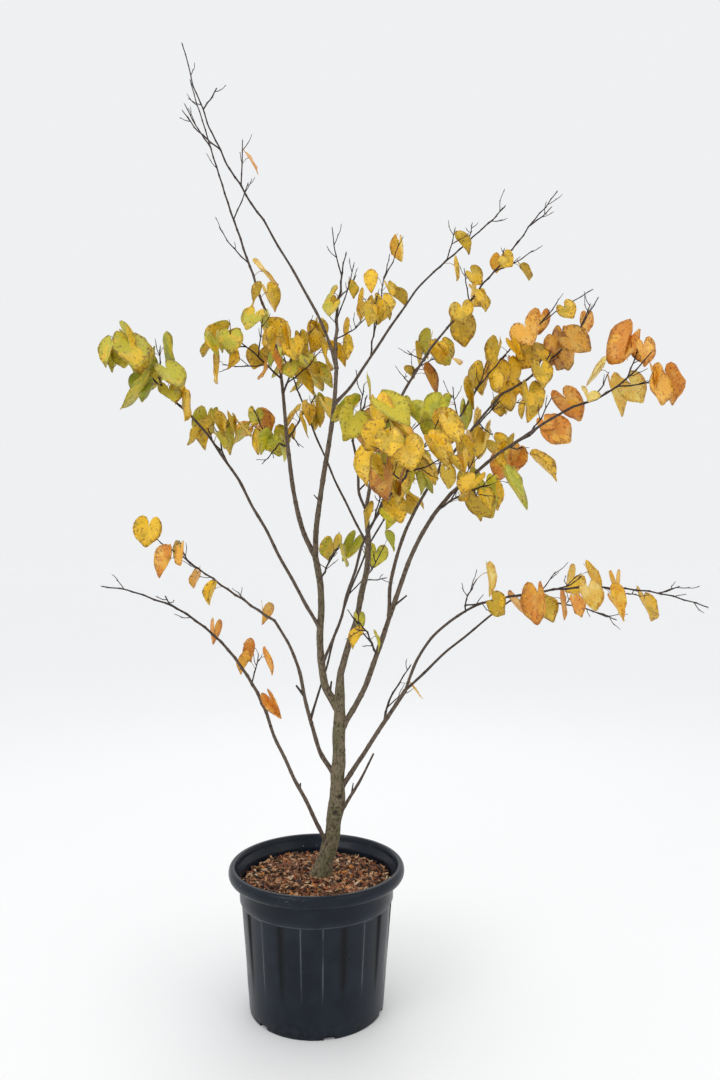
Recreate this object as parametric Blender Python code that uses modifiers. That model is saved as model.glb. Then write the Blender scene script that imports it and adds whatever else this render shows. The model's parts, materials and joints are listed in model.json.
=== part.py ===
"""A potted redbud tree in autumn: trunk, boughs, sprays of leaves, pot and potting mix.

Metres, +Z up. The origin is the centre of the pot's flat underside, and -Y is the front.
Each limb is one tapering tube along a bowed line. Each spray is a stem with seeded side
shoots and leaves, which are skipped where they would leave the spray's own space.
"""

import math
import random
from typing import NamedTuple

import bmesh
import bpy
import numpy as np

TREE_NAME = "redbud_tree"
CUTTERS_NAME = "cutters"
MM = 0.001
UP = np.array([0.0, 0.0, 1.0])
RIGHT = np.array([1.0, 0.0, 0.0])

# Clearance between pieces that touch
GAP = 0.3 * MM
SLOPED_GAP = 0.35 * MM

# Pot, from its flat underside
POT_HEIGHT = 0.3887
LIP_RADIUS = 0.240
LIP_INNER_RADIUS = 0.2205
LIP_HEIGHT = 0.033
COLLAR_RADIUS = 0.2105
COLLAR_WALL = 0.0045
COLLAR_FOOT = 0.298
BODY_RADIUS = 0.2065
BASE_RADIUS = 0.1825
POT_WALL = 0.0085
POT_FLOOR = 0.018
POT_STEPS = 36
FLUTE_COUNT = 11
FLUTE_FOOT = 0.085
FLUTE_DEPTH = 0.0045
FLUTE_RUN_OUT = 0.003
FLUTE_FIRST = math.radians(15.5)
NOTCH_COUNT = 6
NOTCH_WIDTH = 0.030
NOTCH_HEIGHT = 0.010
NOTCH_DEPTH = 0.012
NOTCH_FIRST = math.radians(13.0)

# Potting mix, topped with bark chips
MIX_TOP = 0.345
MIX_EDGE_DROP = 0.006
MIX_MOUND_RADIUS = 0.075

# Trunk
TRUNK_FOOT = (0.011, 0.010, MIX_TOP + GAP)
TRUNK_SUNK = 0.02
TRUNK_TAPER = 0.45
FLARE = 0.007
FLARE_HEIGHT = 0.032

# Limbs: facets round each, and distance between points along it
THICK_FACETS = 8
LIMB_FACETS = 6
THICK_LIMB = 6.0 * MM
LIMB_STEP = 0.075
KINK = 2.2 * MM
ROOT_SUNK = 3.0 * MM
SWAY_PEAK = 10.39

# Twigs
TWIG_STEP = 0.062
TWIG_TIP = 1.1 * MM
TWIG_KINK = 2.5 * MM
BARE_ROOT = 14.0 * MM
SHOOT_ROOT = 1.7 * MM
STALK_RADIUS = 1.0 * MM
STALK_TIP = 0.6 * MM

# Leaves: turns from the midrib at which the solid's edge has its corners, on each side
LEAF_CORNERS = (math.radians(122), math.radians(66), math.radians(24))
LEAF_NOTCH = 0.5
LEAF_THICKNESS = 2.0 * MM
LEAF_MIDDLE = 0.42
LEAF_SPREAD = 0.16
LEAF_SIZES = (0.78, 1.14)
SHARE_FOLDED = 0.16
FOLDED = (0.95, 1.3)
OPENED = (0.08, 0.42)
CURLS = (-0.04, 0.16)
SPINS = (-1.4, 1.4)

# Stalks: share of the leaf's length, and how they leave the twig
STALK_SHARES = (0.32, 0.62)
STALK_TURNS = (-0.7, 0.7)
STALK_FORWARD = (0.2, 0.7)
STALK_RISE = (-0.1, 0.8)
STALK_DROP = 0.18
LEVEL_HANG = (0.05, 0.9)
DOWN_HANG = (0.35, 1.0)

# Nodes along a stem and along a shoot
NODE_PITCH = 0.03
SHOOT_NODES = (0.45, 0.75, 1.0)
LAST_NODE = 0.985
NODE_TURNS = (-0.8, 0.8)
LEAF_TRIES = 14

# Side shoots: where they leave the stem, and how
SHOOT_TRIES = 8
SHOOT_FIRST = 0.14
SHOOT_RANGE = 0.72
SHOOT_SHIFTS = (0.0, 0.6)
SHOOT_TURNS = (-0.9, 0.9)
SHOOT_SLOPES = (0.6, 1.0)
SHOOT_SIZES = (0.7, 1.15)
SHOOT_LONGEST = 1.15
SHOOT_SHORTENING = 0.5
SHOOT_LIFT = 0.2
SHOOT_BOW = 0.06

# How near things may come
SAMPLE_TURN = 0.52
SAMPLE_PITCH = 0.2
OTHER_SPRAY_CLEAR = 16.0 * MM
OWN_LEAF_CLEAR = 9.0 * MM
LIMB_CLEAR = 10.0 * MM
TWIG_CLEAR = 5.0 * MM
FAR_AWAY = 100.0


class Limb(NamedTuple):
    """One bough: where it leaves its parent, its tip, how it bows, and its two diameters."""

    name: str
    parent: str
    at: float
    tip: tuple
    bow: tuple
    sway: tuple
    root_diameter: float
    tip_diameter: float


class Spray(NamedTuple):
    """One mass of foliage: its stem, its reach, its leaves and its side shoots."""

    name: str
    carrier: str
    at: float
    tip: tuple
    bow: tuple
    leaves: int
    leaf_length: float
    leafy: tuple
    shoots: int
    shoot_length: float
    seed: int


TRUNK = Limb("trunk", "", 0.0, (0.065, -0.005, 0.905), (0.020, 0.005, -0.005), (0.005, 0, 0), 41, 17)

LIMBS = (
    Limb("left_stem", "trunk", 0.86, (-0.005, 0.03, 1.225),
         (-0.02, 0, -0.01), (-0.015, 0, -0.005), 18, 15),
    Limb("centre_stem", "trunk", 1.0, (0.135, 0.04, 1.355), (0.025, 0, -0.005), (-0.005, 0, 0), 16, 12),
    Limb("right_stem", "trunk", 0.77, (0.355, -0.12, 1.395),
         (-0.005, 0.02, 0.01), (0.015, 0, -0.01), 14, 8.5),
    Limb("low_left_bough", "trunk", 0.29, (-0.125, -0.12, 0.825),
         (-0.01, -0.01, 0.01), (0, 0, 0.005), 9.5, 7),
    Limb("second_left_bough", "trunk", 0.58, (-0.125, 0.11, 1.04),
         (0, 0, -0.005), (-0.015, 0, -0.005), 11, 6.5),
    Limb("low_right_bough", "trunk", 0.51, (0.24, -0.05, 0.87), (0, 0.005, 0), (0, 0, 0), 11.5, 9.5),
    Limb("dead_spur", "trunk", 0.38, (0.155, -0.05, 0.70), (0, 0, -0.005), (0, 0, 0), 7, 3),
    Limb("tall_leader", "left_stem", 1.0, (0.055, -0.03, 1.735),
         (0, -0.02, 0), (-0.005, 0, 0), 13.5, 9),
    Limb("left_leader", "left_stem", 1.0, (-0.155, 0.17, 1.935),
         (-0.01, 0.01, -0.015), (-0.015, 0, -0.005), 12.5, 6),
    Limb("left_high_bough", "left_stem", 0.55, (-0.315, -0.17, 1.595),
         (0.005, 0, 0.02), (-0.005, 0, -0.005), 8.5, 5),
    Limb("front_bough", "left_stem", 0.32, (0.215, -0.26, 1.41),
         (-0.01, 0, 0.025), (0.01, 0, -0.005), 7, 5),
    Limb("tall_upper", "tall_leader", 1.0, (-0.145, 0.02, 2.15),
         (0.015, 0, 0.005), (0.005, 0, 0), 8, 4.5),
    Limb("back_leader", "tall_leader", 0.81, (0.335, 0.20, 2.06),
         (-0.005, 0, -0.005), (0.005, 0, -0.005), 7.5, 4.5),
    Limb("far_bough", "centre_stem", 1.0, (0.375, 0.20, 1.895), (-0.04, 0, 0.01), (0, 0, 0), 9, 5.5),
    Limb("centre_bough", "centre_stem", 1.0, (0.10, -0.18, 1.525),
         (-0.005, 0, 0.005), (-0.005, 0, 0), 7, 5),
    Limb("back_shoot", "centre_stem", 0.79, (-0.065, 0.28, 1.71),
         (-0.005, 0, -0.01), (0, 0, 0), 6, 4.5),
    Limb("inner_shoot", "second_left_bough", 0.38, (0.19, 0.26, 1.33),
         (-0.02, 0, 0), (0.005, 0, 0), 5.5, 4.5),
    Limb("right_bough", "right_stem", 1.0, (0.645, -0.22, 1.605), (-0.005, 0, 0.01), (0, 0, 0), 8, 5),
    Limb("rising_bough", "right_stem", 0.48, (0.52, 0.09, 1.685),
         (-0.065, 0, 0.02), (-0.01, 0, 0), 9, 5.5),
    Limb("low_right_upper", "low_right_bough", 1.0, (0.495, -0.17, 1.13),
         (-0.035, 0, 0.045), (0, 0, 0), 7, 5),
    Limb("low_right_lower", "low_right_bough", 1.0, (0.545, 0.09, 1.10),
         (-0.01, 0, 0), (0, 0, 0), 6.5, 4.5),
)

SPRAYS = (
    Spray("low_left_spray", "low_left_bough", 1.0, (-0.50, -0.30, 1.165), (0.04, 0, 0.065),
          leaves=5, leaf_length=0.078, leafy=(0.0, 0.42), shoots=2, shoot_length=0.07, seed=395),
    Spray("second_left_spray", "second_left_bough", 1.0, (-0.515, 0.25, 1.29), (0, 0, -0.005),
          leaves=7, leaf_length=0.085, leafy=(0.0, 1.0), shoots=2, shoot_length=0.11, seed=182),
    Spray("left_high_spray", "left_high_bough", 1.0, (-0.45, -0.27, 1.735), (-0.005, 0, 0),
          leaves=9, leaf_length=0.098, leafy=(0.1, 1.0), shoots=3, shoot_length=0.12, seed=111),
    Spray("left_high_inner", "left_high_bough", 0.74, (-0.255, -0.05, 1.595), (-0.01, 0, 0),
          leaves=6, leaf_length=0.085, leafy=(0.2, 1.0), shoots=2, shoot_length=0.10, seed=330),
    Spray("leader_west", "left_leader", 0.73, (-0.25, 0.02, 1.85), (0, 0, 0.005),
          leaves=7, leaf_length=0.090, leafy=(0.2, 1.0), shoots=3, shoot_length=0.12, seed=282),
    Spray("leader_low_west", "left_leader", 0.46, (-0.21, 0.26, 1.62), (0, 0, -0.005),
          leaves=6, leaf_length=0.085, leafy=(0.2, 1.0), shoots=2, shoot_length=0.12, seed=384),
    Spray("leader_east", "left_leader", 0.67, (-0.045, 0.03, 1.85), (0.005, 0, 0),
          leaves=8, leaf_length=0.085, leafy=(0.2, 1.0), shoots=3, shoot_length=0.12, seed=149),
    Spray("leader_top", "left_leader", 1.0, (-0.385, 0.22, 2.635), (-0.005, 0, -0.005),
          leaves=3, leaf_length=0.092, leafy=(0.0, 0.2), shoots=3, shoot_length=0.16, seed=93),
    Spray("leader_back", "left_leader", 0.49, (-0.045, 0.33, 1.705), (0.005, 0, -0.005),
          leaves=5, leaf_length=0.085, leafy=(0.2, 1.0), shoots=2, shoot_length=0.12, seed=352),
    Spray("tall_top", "tall_upper", 1.0, (-0.375, 0.05, 2.65), (-0.025, 0, -0.015),
          leaves=1, leaf_length=0.085, leafy=(0.1, 0.4), shoots=3, shoot_length=0.15, seed=45),
    Spray("crown_middle", "tall_leader", 1.0, (0.08, 0.06, 2.075), (-0.01, 0, 0),
          leaves=4, leaf_length=0.075, leafy=(0.1, 0.6), shoots=4, shoot_length=0.15, seed=369),
    Spray("crown_back", "back_leader", 0.36, (0.21, 0.32, 2.15), (-0.005, 0, -0.005),
          leaves=7, leaf_length=0.078, leafy=(0.0, 1.0), shoots=3, shoot_length=0.13, seed=349),
    Spray("back_leader_tip", "back_leader", 1.0, (0.56, 0.28, 2.285), (0, 0, -0.005),
          leaves=2, leaf_length=0.080, leafy=(0.0, 1.0), shoots=3, shoot_length=0.10, seed=286),
    Spray("far_spray", "far_bough", 1.0, (0.715, 0.27, 2.325), (0, 0, -0.005),
          leaves=5, leaf_length=0.085, leafy=(0.05, 0.6), shoots=4, shoot_length=0.12, seed=379),
    Spray("far_inner", "far_bough", 0.62, (0.37, 0.38, 1.885), (-0.01, 0, 0.005),
          leaves=5, leaf_length=0.085, leafy=(0.2, 1.0), shoots=3, shoot_length=0.12, seed=217),
    Spray("rising_tip", "rising_bough", 1.0, (0.80, 0.12, 1.965), (0.025, 0, -0.02),
          leaves=8, leaf_length=0.090, leafy=(0.0, 0.8), shoots=4, shoot_length=0.11, seed=23),
    Spray("rising_inner", "rising_bough", 0.59, (0.805, 0.20, 2.01), (-0.065, 0, 0.035),
          leaves=9, leaf_length=0.088, leafy=(0.3, 0.9), shoots=4, shoot_length=0.12, seed=23),
    Spray("rising_back", "rising_bough", 0.81, (0.575, 0.25, 1.735), (0, 0, -0.005),
          leaves=6, leaf_length=0.085, leafy=(0.2, 1.0), shoots=3, shoot_length=0.12, seed=388),
    Spray("right_tip", "right_bough", 1.0, (0.815, -0.30, 1.725), (0.015, 0, -0.015),
          leaves=6, leaf_length=0.095, leafy=(0.0, 0.8), shoots=3, shoot_length=0.11, seed=359),
    Spray("right_inner", "right_bough", 0.45, (0.60, -0.12, 1.585), (0.005, 0, -0.005),
          leaves=5, leaf_length=0.090, leafy=(0.2, 1.0), shoots=2, shoot_length=0.12, seed=364),
    Spray("right_low", "right_stem", 0.92, (0.435, -0.28, 1.41), (0, 0, 0.01),
          leaves=6, leaf_length=0.098, leafy=(0.2, 1.0), shoots=2, shoot_length=0.12, seed=82),
    Spray("front_spray", "front_bough", 1.0, (0.235, -0.42, 1.47), (0.005, 0, 0),
          leaves=7, leaf_length=0.092, leafy=(0.1, 1.0), shoots=3, shoot_length=0.12, seed=50),
    Spray("front_low", "front_bough", 0.72, (0.185, -0.40, 1.425), (0.005, 0, 0),
          leaves=4, leaf_length=0.080, leafy=(0.3, 1.0), shoots=2, shoot_length=0.10, seed=117),
    Spray("centre_front", "centre_bough", 1.0, (0.135, -0.34, 1.615), (0, 0, 0.005),
          leaves=5, leaf_length=0.105, leafy=(0.1, 1.0), shoots=2, shoot_length=0.12, seed=263),
    Spray("centre_side", "centre_bough", 0.29, (0.235, -0.10, 1.615), (0.02, 0, -0.01),
          leaves=5, leaf_length=0.095, leafy=(0.3, 1.0), shoots=2, shoot_length=0.12, seed=298),
    Spray("centre_right", "centre_stem", 0.88, (0.315, -0.22, 1.575), (0.01, 0, 0.005),
          leaves=6, leaf_length=0.095, leafy=(0.4, 1.0), shoots=3, shoot_length=0.12, seed=180),
    Spray("back_spray", "back_shoot", 1.0, (-0.105, 0.40, 1.855), (-0.005, 0, 0),
          leaves=5, leaf_length=0.085, leafy=(0.1, 1.0), shoots=3, shoot_length=0.12, seed=141),
    Spray("inner_spray", "inner_shoot", 1.0, (0.295, 0.42, 1.525), (0, 0, -0.005),
          leaves=6, leaf_length=0.090, leafy=(0.1, 1.0), shoots=3, shoot_length=0.12, seed=170),
    Spray("inner_low", "inner_shoot", 0.61, (0.195, 0.30, 1.255), (0.01, 0, -0.005),
          leaves=3, leaf_length=0.085, leafy=(0.3, 1.0), shoots=2, shoot_length=0.10, seed=324),
    Spray("olive_low", "left_stem", 0.85, (0.055, -0.15, 1.25), (0, 0, 0),
          leaves=2, leaf_length=0.095, leafy=(0.3, 1.0), shoots=1, shoot_length=0.08, seed=203),
    Spray("fork_twigs", "right_stem", 0.33, (0.115, -0.15, 1.065), (0.005, 0, 0),
          leaves=3, leaf_length=0.062, leafy=(0.1, 1.0), shoots=3, shoot_length=0.09, seed=170),
    Spray("low_right_tip", "low_right_upper", 1.0, (0.975, -0.24, 1.11), (0.015, 0, 0.035),
          leaves=8, leaf_length=0.092, leafy=(0.0, 0.7), shoots=3, shoot_length=0.11, seed=177),
    Spray("low_right_mid", "low_right_upper", 0.70, (0.40, -0.28, 1.18), (-0.005, 0, 0.005),
          leaves=2, leaf_length=0.075, leafy=(0.3, 1.0), shoots=1, shoot_length=0.08, seed=364),
    Spray("low_right_back", "low_right_lower", 1.0, (0.89, 0.24, 1.03), (-0.005, 0, 0.02),
          leaves=4, leaf_length=0.088, leafy=(0.1, 0.9), shoots=3, shoot_length=0.10, seed=75),
    Spray("low_right_shoot", "low_right_bough", 0.69, (0.26, 0.04, 0.925), (-0.01, 0, 0.005),
          leaves=1, leaf_length=0.070, leafy=(0.5, 1.0), shoots=1, shoot_length=0.06, seed=182),
)

# Colour, roughness of each kind of piece
FINISHES = {
    "pot": ((0.020, 0.022, 0.026), 0.45),
    "mix": ((0.130, 0.075, 0.045), 0.95),
    "bark": ((0.155, 0.125, 0.095), 0.90),
    "leaf": ((0.480, 0.330, 0.060), 0.65),
}


def unit(vector):
    """The vector at length one."""
    return vector / math.sqrt(float(vector @ vector))


def square_to(axis, turn):
    """Unit vector square to an axis, turned about it from the level direction."""
    level = np.cross(UP, axis)
    if float(level @ level) < 0.01:
        level = np.cross(RIGHT, axis)
    level = unit(level)
    return level * math.cos(turn) + np.cross(unit(axis), level) * math.sin(turn)


def bowed_line(start, tip, bow, sway, count):
    """Points along a line that bows to one side and sways to both."""
    t = np.linspace(0.0, 1.0, count)[:, None]
    bowed = 4 * t * (1 - t) * np.array(bow)
    swayed = SWAY_PEAK * t * (1 - t) * (1 - 2 * t) * np.array(sway)
    return start + (np.array(tip) - start) * t + bowed + swayed


def kink(points, size, rng):
    """Shifts the inner points to one side and the other, as buds turn a growing shoot."""
    turn = rng.uniform(0.0, math.pi)
    shifted = points.copy()
    for place in range(1, len(points) - 1):
        side = square_to(points[place + 1] - points[place - 1], turn + rng.uniform(-0.6, 0.6))
        shifted[place] += side * size * (-1) ** place * rng.uniform(0.5, 1.2)
    return shifted


def point_at(points, share):
    """The point at a share of the way along, and the direction there."""
    place = share * (len(points) - 1)
    low = min(int(place), len(points) - 2)
    step = points[low + 1] - points[low]
    return points[low] + step * (place - low), unit(step)


def probes_along(points, first, count):
    """Evenly spread points from a share of the way along to the tip."""
    return np.vstack([point_at(points, share)[0] for share in np.linspace(first, 1.0, count)])


def span(points):
    """Length of a polyline."""
    return float(np.linalg.norm(np.diff(points, axis=0), axis=1).sum())


def taper(root, tip, count, power=1.0):
    """Radii along a limb."""
    return tip + (root - tip) * (1 - np.linspace(0.0, 1.0, count)) ** power


class Skeleton:
    """The lines and radii of the trunk, the boughs and the stems of the sprays."""

    def __init__(self):
        self.lines = {}
        self.radii = {}
        self.add_trunk()
        for limb in LIMBS:
            self.add_limb(limb)
        for spray in SPRAYS:
            self.add_stem(spray)
        self.segments = self.list_segments()

    def add_trunk(self):
        """The trunk starts a little under its flat cut, which is made afterwards."""
        count = 11
        line = bowed_line(np.array(TRUNK_FOOT), TRUNK.tip, TRUNK.bow, TRUNK.sway, count)
        line = kink(line, KINK, random.Random(TRUNK.name))
        lean = unit(line[1] - line[0])
        radii = taper(TRUNK.root_diameter / 2 * MM, TRUNK.tip_diameter / 2 * MM, count, TRUNK_TAPER)
        foot = line[0] - lean * TRUNK_SUNK
        near = [foot, line[0], line[0] + lean * FLARE_HEIGHT]
        heights = np.array([0.0, 0.0, FLARE_HEIGHT])
        flared = radii[0] + FLARE * np.exp(-heights / FLARE_HEIGHT)
        self.lines[TRUNK.name] = np.vstack([near, line[1:]])
        self.radii[TRUNK.name] = np.concatenate([flared, radii[1:]])

    def add_limb(self, limb):
        """A bough starts on its parent's centre line."""
        start, _ = point_at(self.lines[limb.parent], limb.at)
        length = float(np.linalg.norm(np.array(limb.tip) - start))
        count = max(4, round(length / LIMB_STEP) + 1)
        line = bowed_line(start, limb.tip, limb.bow, limb.sway, count)
        self.lines[limb.name] = kink(line, KINK, random.Random(limb.name))
        self.radii[limb.name] = taper(limb.root_diameter / 2 * MM, limb.tip_diameter / 2 * MM, count)

    def add_stem(self, spray):
        """A spray's stem is as thick as its bough's tip, or thinner than the bough it leaves."""
        start, _ = point_at(self.lines[spray.carrier], spray.at)
        length = float(np.linalg.norm(np.array(spray.tip) - start))
        count = max(4, round(length / TWIG_STEP) + 1)
        line = bowed_line(start, spray.tip, spray.bow, (0, 0, 0), count)
        carried = self.radii[spray.carrier]
        there = float(np.interp(spray.at, np.linspace(0, 1, len(carried)), carried))
        root = there if spray.at == 1.0 else min(0.6 * there, 2.6 * MM)
        self.lines[spray.name] = kink(line, TWIG_KINK, random.Random(spray.name))
        self.radii[spray.name] = taper(root, TWIG_TIP, count)

    def list_segments(self):
        """Both ends and the radius of every straight piece of every line."""
        return (
            np.vstack([line[:-1] for line in self.lines.values()]),
            np.vstack([line[1:] for line in self.lines.values()]),
            np.concatenate([radii[:-1] for radii in self.radii.values()]),
        )

    def segments_near(self, line, reach):
        """The straight pieces that come within reach of a line."""
        ends, tips, radii = self.segments
        middles = (ends + tips) / 2
        apart = np.linalg.norm(middles[:, None] - line[None], axis=-1).min(axis=1)
        kept = apart < reach + np.linalg.norm(tips - ends, axis=1)
        return ends[kept], (tips - ends)[kept], radii[kept]


def clearance(points, segments):
    """The least distance from the points to the surface of the straight pieces."""
    start, along, radius = segments
    reach = points[:, None, :] - start[None]
    share = np.clip((reach * along).sum(-1) / (along**2).sum(-1), 0.0, 1.0)
    apart = np.linalg.norm(reach - share[..., None] * along, axis=-1) - radius
    return float(apart.min())


def least_apart(points, others):
    """The least distance between two sets of points."""
    return float(np.linalg.norm(points[:, None] - others[None], axis=-1).min())


def leaf_edge(turn):
    """A heart-shaped leaf's reach from its stalk, as a share of its length, at a turn from its midrib."""
    rounded = 0.57 + 0.19 * math.cos(turn) + 0.06 * math.cos(2 * turn)
    pointed = 0.18 * math.exp(-((turn / 0.22) ** 2))
    notched = LEAF_NOTCH * math.exp(-(((math.pi - abs(turn)) / 0.6) ** 2))
    return max(0.0, rounded + pointed - notched)


class Leaf(NamedTuple):
    """A leaf: its stalk's line, its own axes, its length, and how it is folded and curled."""

    stalk: np.ndarray
    base: np.ndarray
    along: np.ndarray
    across: np.ndarray
    face: np.ndarray
    length: float
    fold: float
    curl: float

    def at(self, x, y):
        """World place of a point given as shares of the length, along and across."""
        lift = abs(y) * math.sin(self.fold) - self.curl * x * abs(x)
        place = x * self.along + y * math.cos(self.fold) * self.across + lift * self.face
        return self.base + self.length * place

    def samples(self):
        """Points spread over the leaf, by which it is kept clear of other things."""
        points = [self.at(0.0, 0.0)]
        for spoke in range(-5, 6):
            turn = spoke * SAMPLE_TURN
            reach = leaf_edge(turn)
            rings = max(2, round(reach / SAMPLE_PITCH))
            for ring in range(1, rings + 1):
                far = reach * ring / rings
                points.append(self.at(far * math.cos(turn), far * math.sin(turn)))
        return np.array(points)


def new_leaf(rng, node, heading_along, turn, length):
    """A leaf that hangs from its node on a stalk of its own."""
    out = square_to(heading_along, turn + rng.uniform(*STALK_TURNS))
    forward = rng.uniform(*STALK_FORWARD) * heading_along
    heading = unit(out + forward + rng.uniform(*STALK_RISE) * UP)
    stalk_length = length * rng.uniform(*STALK_SHARES)
    level = unit(heading * np.array([1.0, 1.0, 0.0]) + 0.02 * RIGHT)
    along = unit(rng.uniform(*LEVEL_HANG) * level - rng.uniform(*DOWN_HANG) * UP)
    base = node + stalk_length * (0.94 * heading - STALK_DROP * UP)
    middle = node + stalk_length * 0.55 * heading
    spin = rng.uniform(*SPINS)
    front = unit(level - float(level @ along) * along)
    face = unit(front * math.cos(spin) + np.cross(along, front) * math.sin(spin))
    across = np.cross(face, along)
    folded = rng.random() < SHARE_FOLDED
    fold = rng.uniform(*FOLDED) if folded else rng.uniform(*OPENED)
    curl = rng.uniform(*CURLS)
    return Leaf(np.array([node, middle, base]), base, along, across, face, length, fold, curl)


class Growth:
    """What grows on one spray: its side shoots with their radii, and its leaves."""

    def __init__(self, spray, skeleton, taken):
        self.spray = spray
        self.stem = skeleton.lines[spray.name]
        self.reach = LEAF_SPREAD + spray.shoot_length
        self.top = max(line[-1][2] for line in skeleton.lines.values())
        self.limbs = skeleton.segments_near(self.stem, self.reach)
        near = [held for held in taken if least_apart(held[:1], self.stem) < 2 * self.reach]
        self.others = np.vstack(near) if near else np.full((1, 3), FAR_AWAY)
        self.rng = random.Random(spray.seed)
        self.shoots = []
        self.leaves = []
        self.own = []
        self.grow_shoots()
        self.grow_leaves()

    def in_space(self, points):
        """Whether points lie within the spray's reach of its stem, and below the tallest tip."""
        far = np.linalg.norm(points[:, None] - self.stem[None], axis=-1).min(axis=1)
        return bool((far < self.reach).all()) and bool((points[:, 2] < self.top).all())

    def grow_shoots(self):
        """Side shoots leave the stem on one side and the other."""
        spray = self.spray
        first = self.rng.uniform(0.0, 2 * math.pi)
        for number in range(spray.shoots):
            share = SHOOT_FIRST + SHOOT_RANGE * (number + self.rng.uniform(*SHOOT_SHIFTS)) / spray.shoots
            for _ in range(SHOOT_TRIES):
                node, heading = point_at(self.stem, share)
                turn = first + math.pi * number + self.rng.uniform(*SHOOT_TURNS)
                slope = self.rng.uniform(*SHOOT_SLOPES)
                side = square_to(heading, turn)
                leaving = unit(heading * math.cos(slope) + side * math.sin(slope) + SHOOT_LIFT * UP)
                longest = spray.shoot_length * (SHOOT_LONGEST - SHOOT_SHORTENING * share)
                length = longest * self.rng.uniform(*SHOOT_SIZES)
                count = max(3, round(length / TWIG_STEP) + 1)
                bow = SHOOT_BOW * length * unit(leaving - 0.8 * UP)
                line = bowed_line(node, node + leaving * length, bow, (0, 0, 0), count)
                line = kink(line, TWIG_KINK, self.rng)
                if self.shoot_fits(line):
                    self.shoots.append(line)
                    break

    def shoot_fits(self, line):
        """Whether a shoot, past its root, is clear of the limbs and of other sprays."""
        probes = probes_along(line, 0.3, 8)
        if clearance(probes, self.limbs) < TWIG_CLEAR:
            return False
        return self.in_space(probes) and least_apart(probes, self.others) > OTHER_SPRAY_CLEAR

    def nodes(self):
        """Places where leaves may sit: line, share of the way along, and rank."""
        low, high = self.spray.leafy
        low = max(low, BARE_ROOT / span(self.stem))
        found = []
        count = max(3, round((high - low) * span(self.stem) / NODE_PITCH))
        for place in range(count + 1):
            found.append((self.stem, low + (high - low) * place / count, place))
        for shoot in self.shoots:
            start, _ = point_at(shoot, 0.0)
            if self.share_along(start) <= high + 0.01:
                found += [(shoot, share, rank) for rank, share in enumerate(SHOOT_NODES)]
        return found

    def share_along(self, point):
        """How far along the stem a point on it lies."""
        nearest = np.linalg.norm(self.stem - point, axis=1).argmin()
        return float(nearest) / (len(self.stem) - 1)

    def grow_leaves(self):
        """Leaves sit at seeded nodes, and one that doesn't fit after some tries is skipped."""
        nodes = self.nodes()
        self.rng.shuffle(nodes)
        for line, share, rank in nodes:
            if len(self.leaves) >= self.spray.leaves:
                return
            node, heading = point_at(line, min(share, LAST_NODE))
            length = self.spray.leaf_length * self.rng.uniform(*LEAF_SIZES)
            for _ in range(LEAF_TRIES):
                turn = math.pi * rank + self.rng.uniform(*NODE_TURNS)
                leaf = new_leaf(self.rng, node, heading, turn, length)
                samples = leaf.samples()
                if self.leaf_fits(leaf, samples):
                    self.leaves.append(leaf)
                    self.own.append(samples)
                    break

    def leaf_fits(self, leaf, samples):
        """Whether a leaf and its stalk are clear of the limbs and of every other leaf."""
        stalk = np.array([leaf.stalk[1], (leaf.stalk[1] + leaf.base) / 2, leaf.base])
        if clearance(samples, self.limbs) < LIMB_CLEAR or clearance(stalk, self.limbs) < TWIG_CLEAR:
            return False
        if any(least_apart(samples, held) < OWN_LEAF_CLEAR for held in self.own):
            return False
        if any(least_apart(samples, probes_along(shoot, 0.0, 12)) < LIMB_CLEAR for shoot in self.shoots):
            return False
        points = np.vstack([samples, stalk])
        return self.in_space(points) and least_apart(points, self.others) > OTHER_SPRAY_CLEAR

    def held_points(self):
        """Groups of points that later sprays keep clear of."""
        shoots = [probes_along(shoot, 0.1, 12) for shoot in self.shoots]
        stalks = [probes_along(leaf.stalk, 0.3, 4) for leaf in self.leaves]
        return self.own + shoots + stalks


def grow_sprays(skeleton):
    """Every spray in turn, each keeping clear of those before it."""
    taken = []
    grown = []
    for spray in SPRAYS:
        growth = Growth(spray, skeleton, taken)
        taken += growth.held_points()
        grown.append(growth)
    return grown


def clear_scene():
    """Empties the scene and makes its two collections."""
    for obj in list(bpy.data.objects):
        bpy.data.objects.remove(obj, do_unlink=True)
    tree = bpy.data.collections.new(TREE_NAME)
    cutters = bpy.data.collections.new(CUTTERS_NAME)
    bpy.context.scene.collection.children.link(tree)
    bpy.context.scene.collection.children.link(cutters)
    return tree, cutters


def new_material(name):
    """A plain finish from the table above."""
    colour, roughness = FINISHES[name]
    material = bpy.data.materials.new(name)
    material.use_nodes = True
    shader = material.node_tree.nodes["Principled BSDF"]
    shader.inputs["Base Color"].default_value = (*colour, 1.0)
    shader.inputs["Roughness"].default_value = roughness
    shader.inputs["Metallic"].default_value = 0.0
    material.diffuse_color = (*colour, 1.0)
    return material


def object_from(name, mesh, collection):
    """A new object that shows a mesh."""
    obj = bpy.data.objects.new(name, mesh)
    collection.objects.link(obj)
    return obj


def frozen_mesh(obj):
    """The object's shape as a welded mesh of its own, with its modifiers applied."""
    bpy.context.view_layer.update()
    graph = bpy.context.evaluated_depsgraph_get()
    mesh = bpy.data.meshes.new_from_object(obj.evaluated_get(graph))
    shape = bmesh.new()
    shape.from_mesh(mesh)
    bmesh.ops.remove_doubles(shape, verts=shape.verts, dist=0.002 * MM)
    bmesh.ops.recalc_face_normals(shape, faces=shape.faces)
    shape.to_mesh(mesh)
    shape.free()
    return mesh


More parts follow.
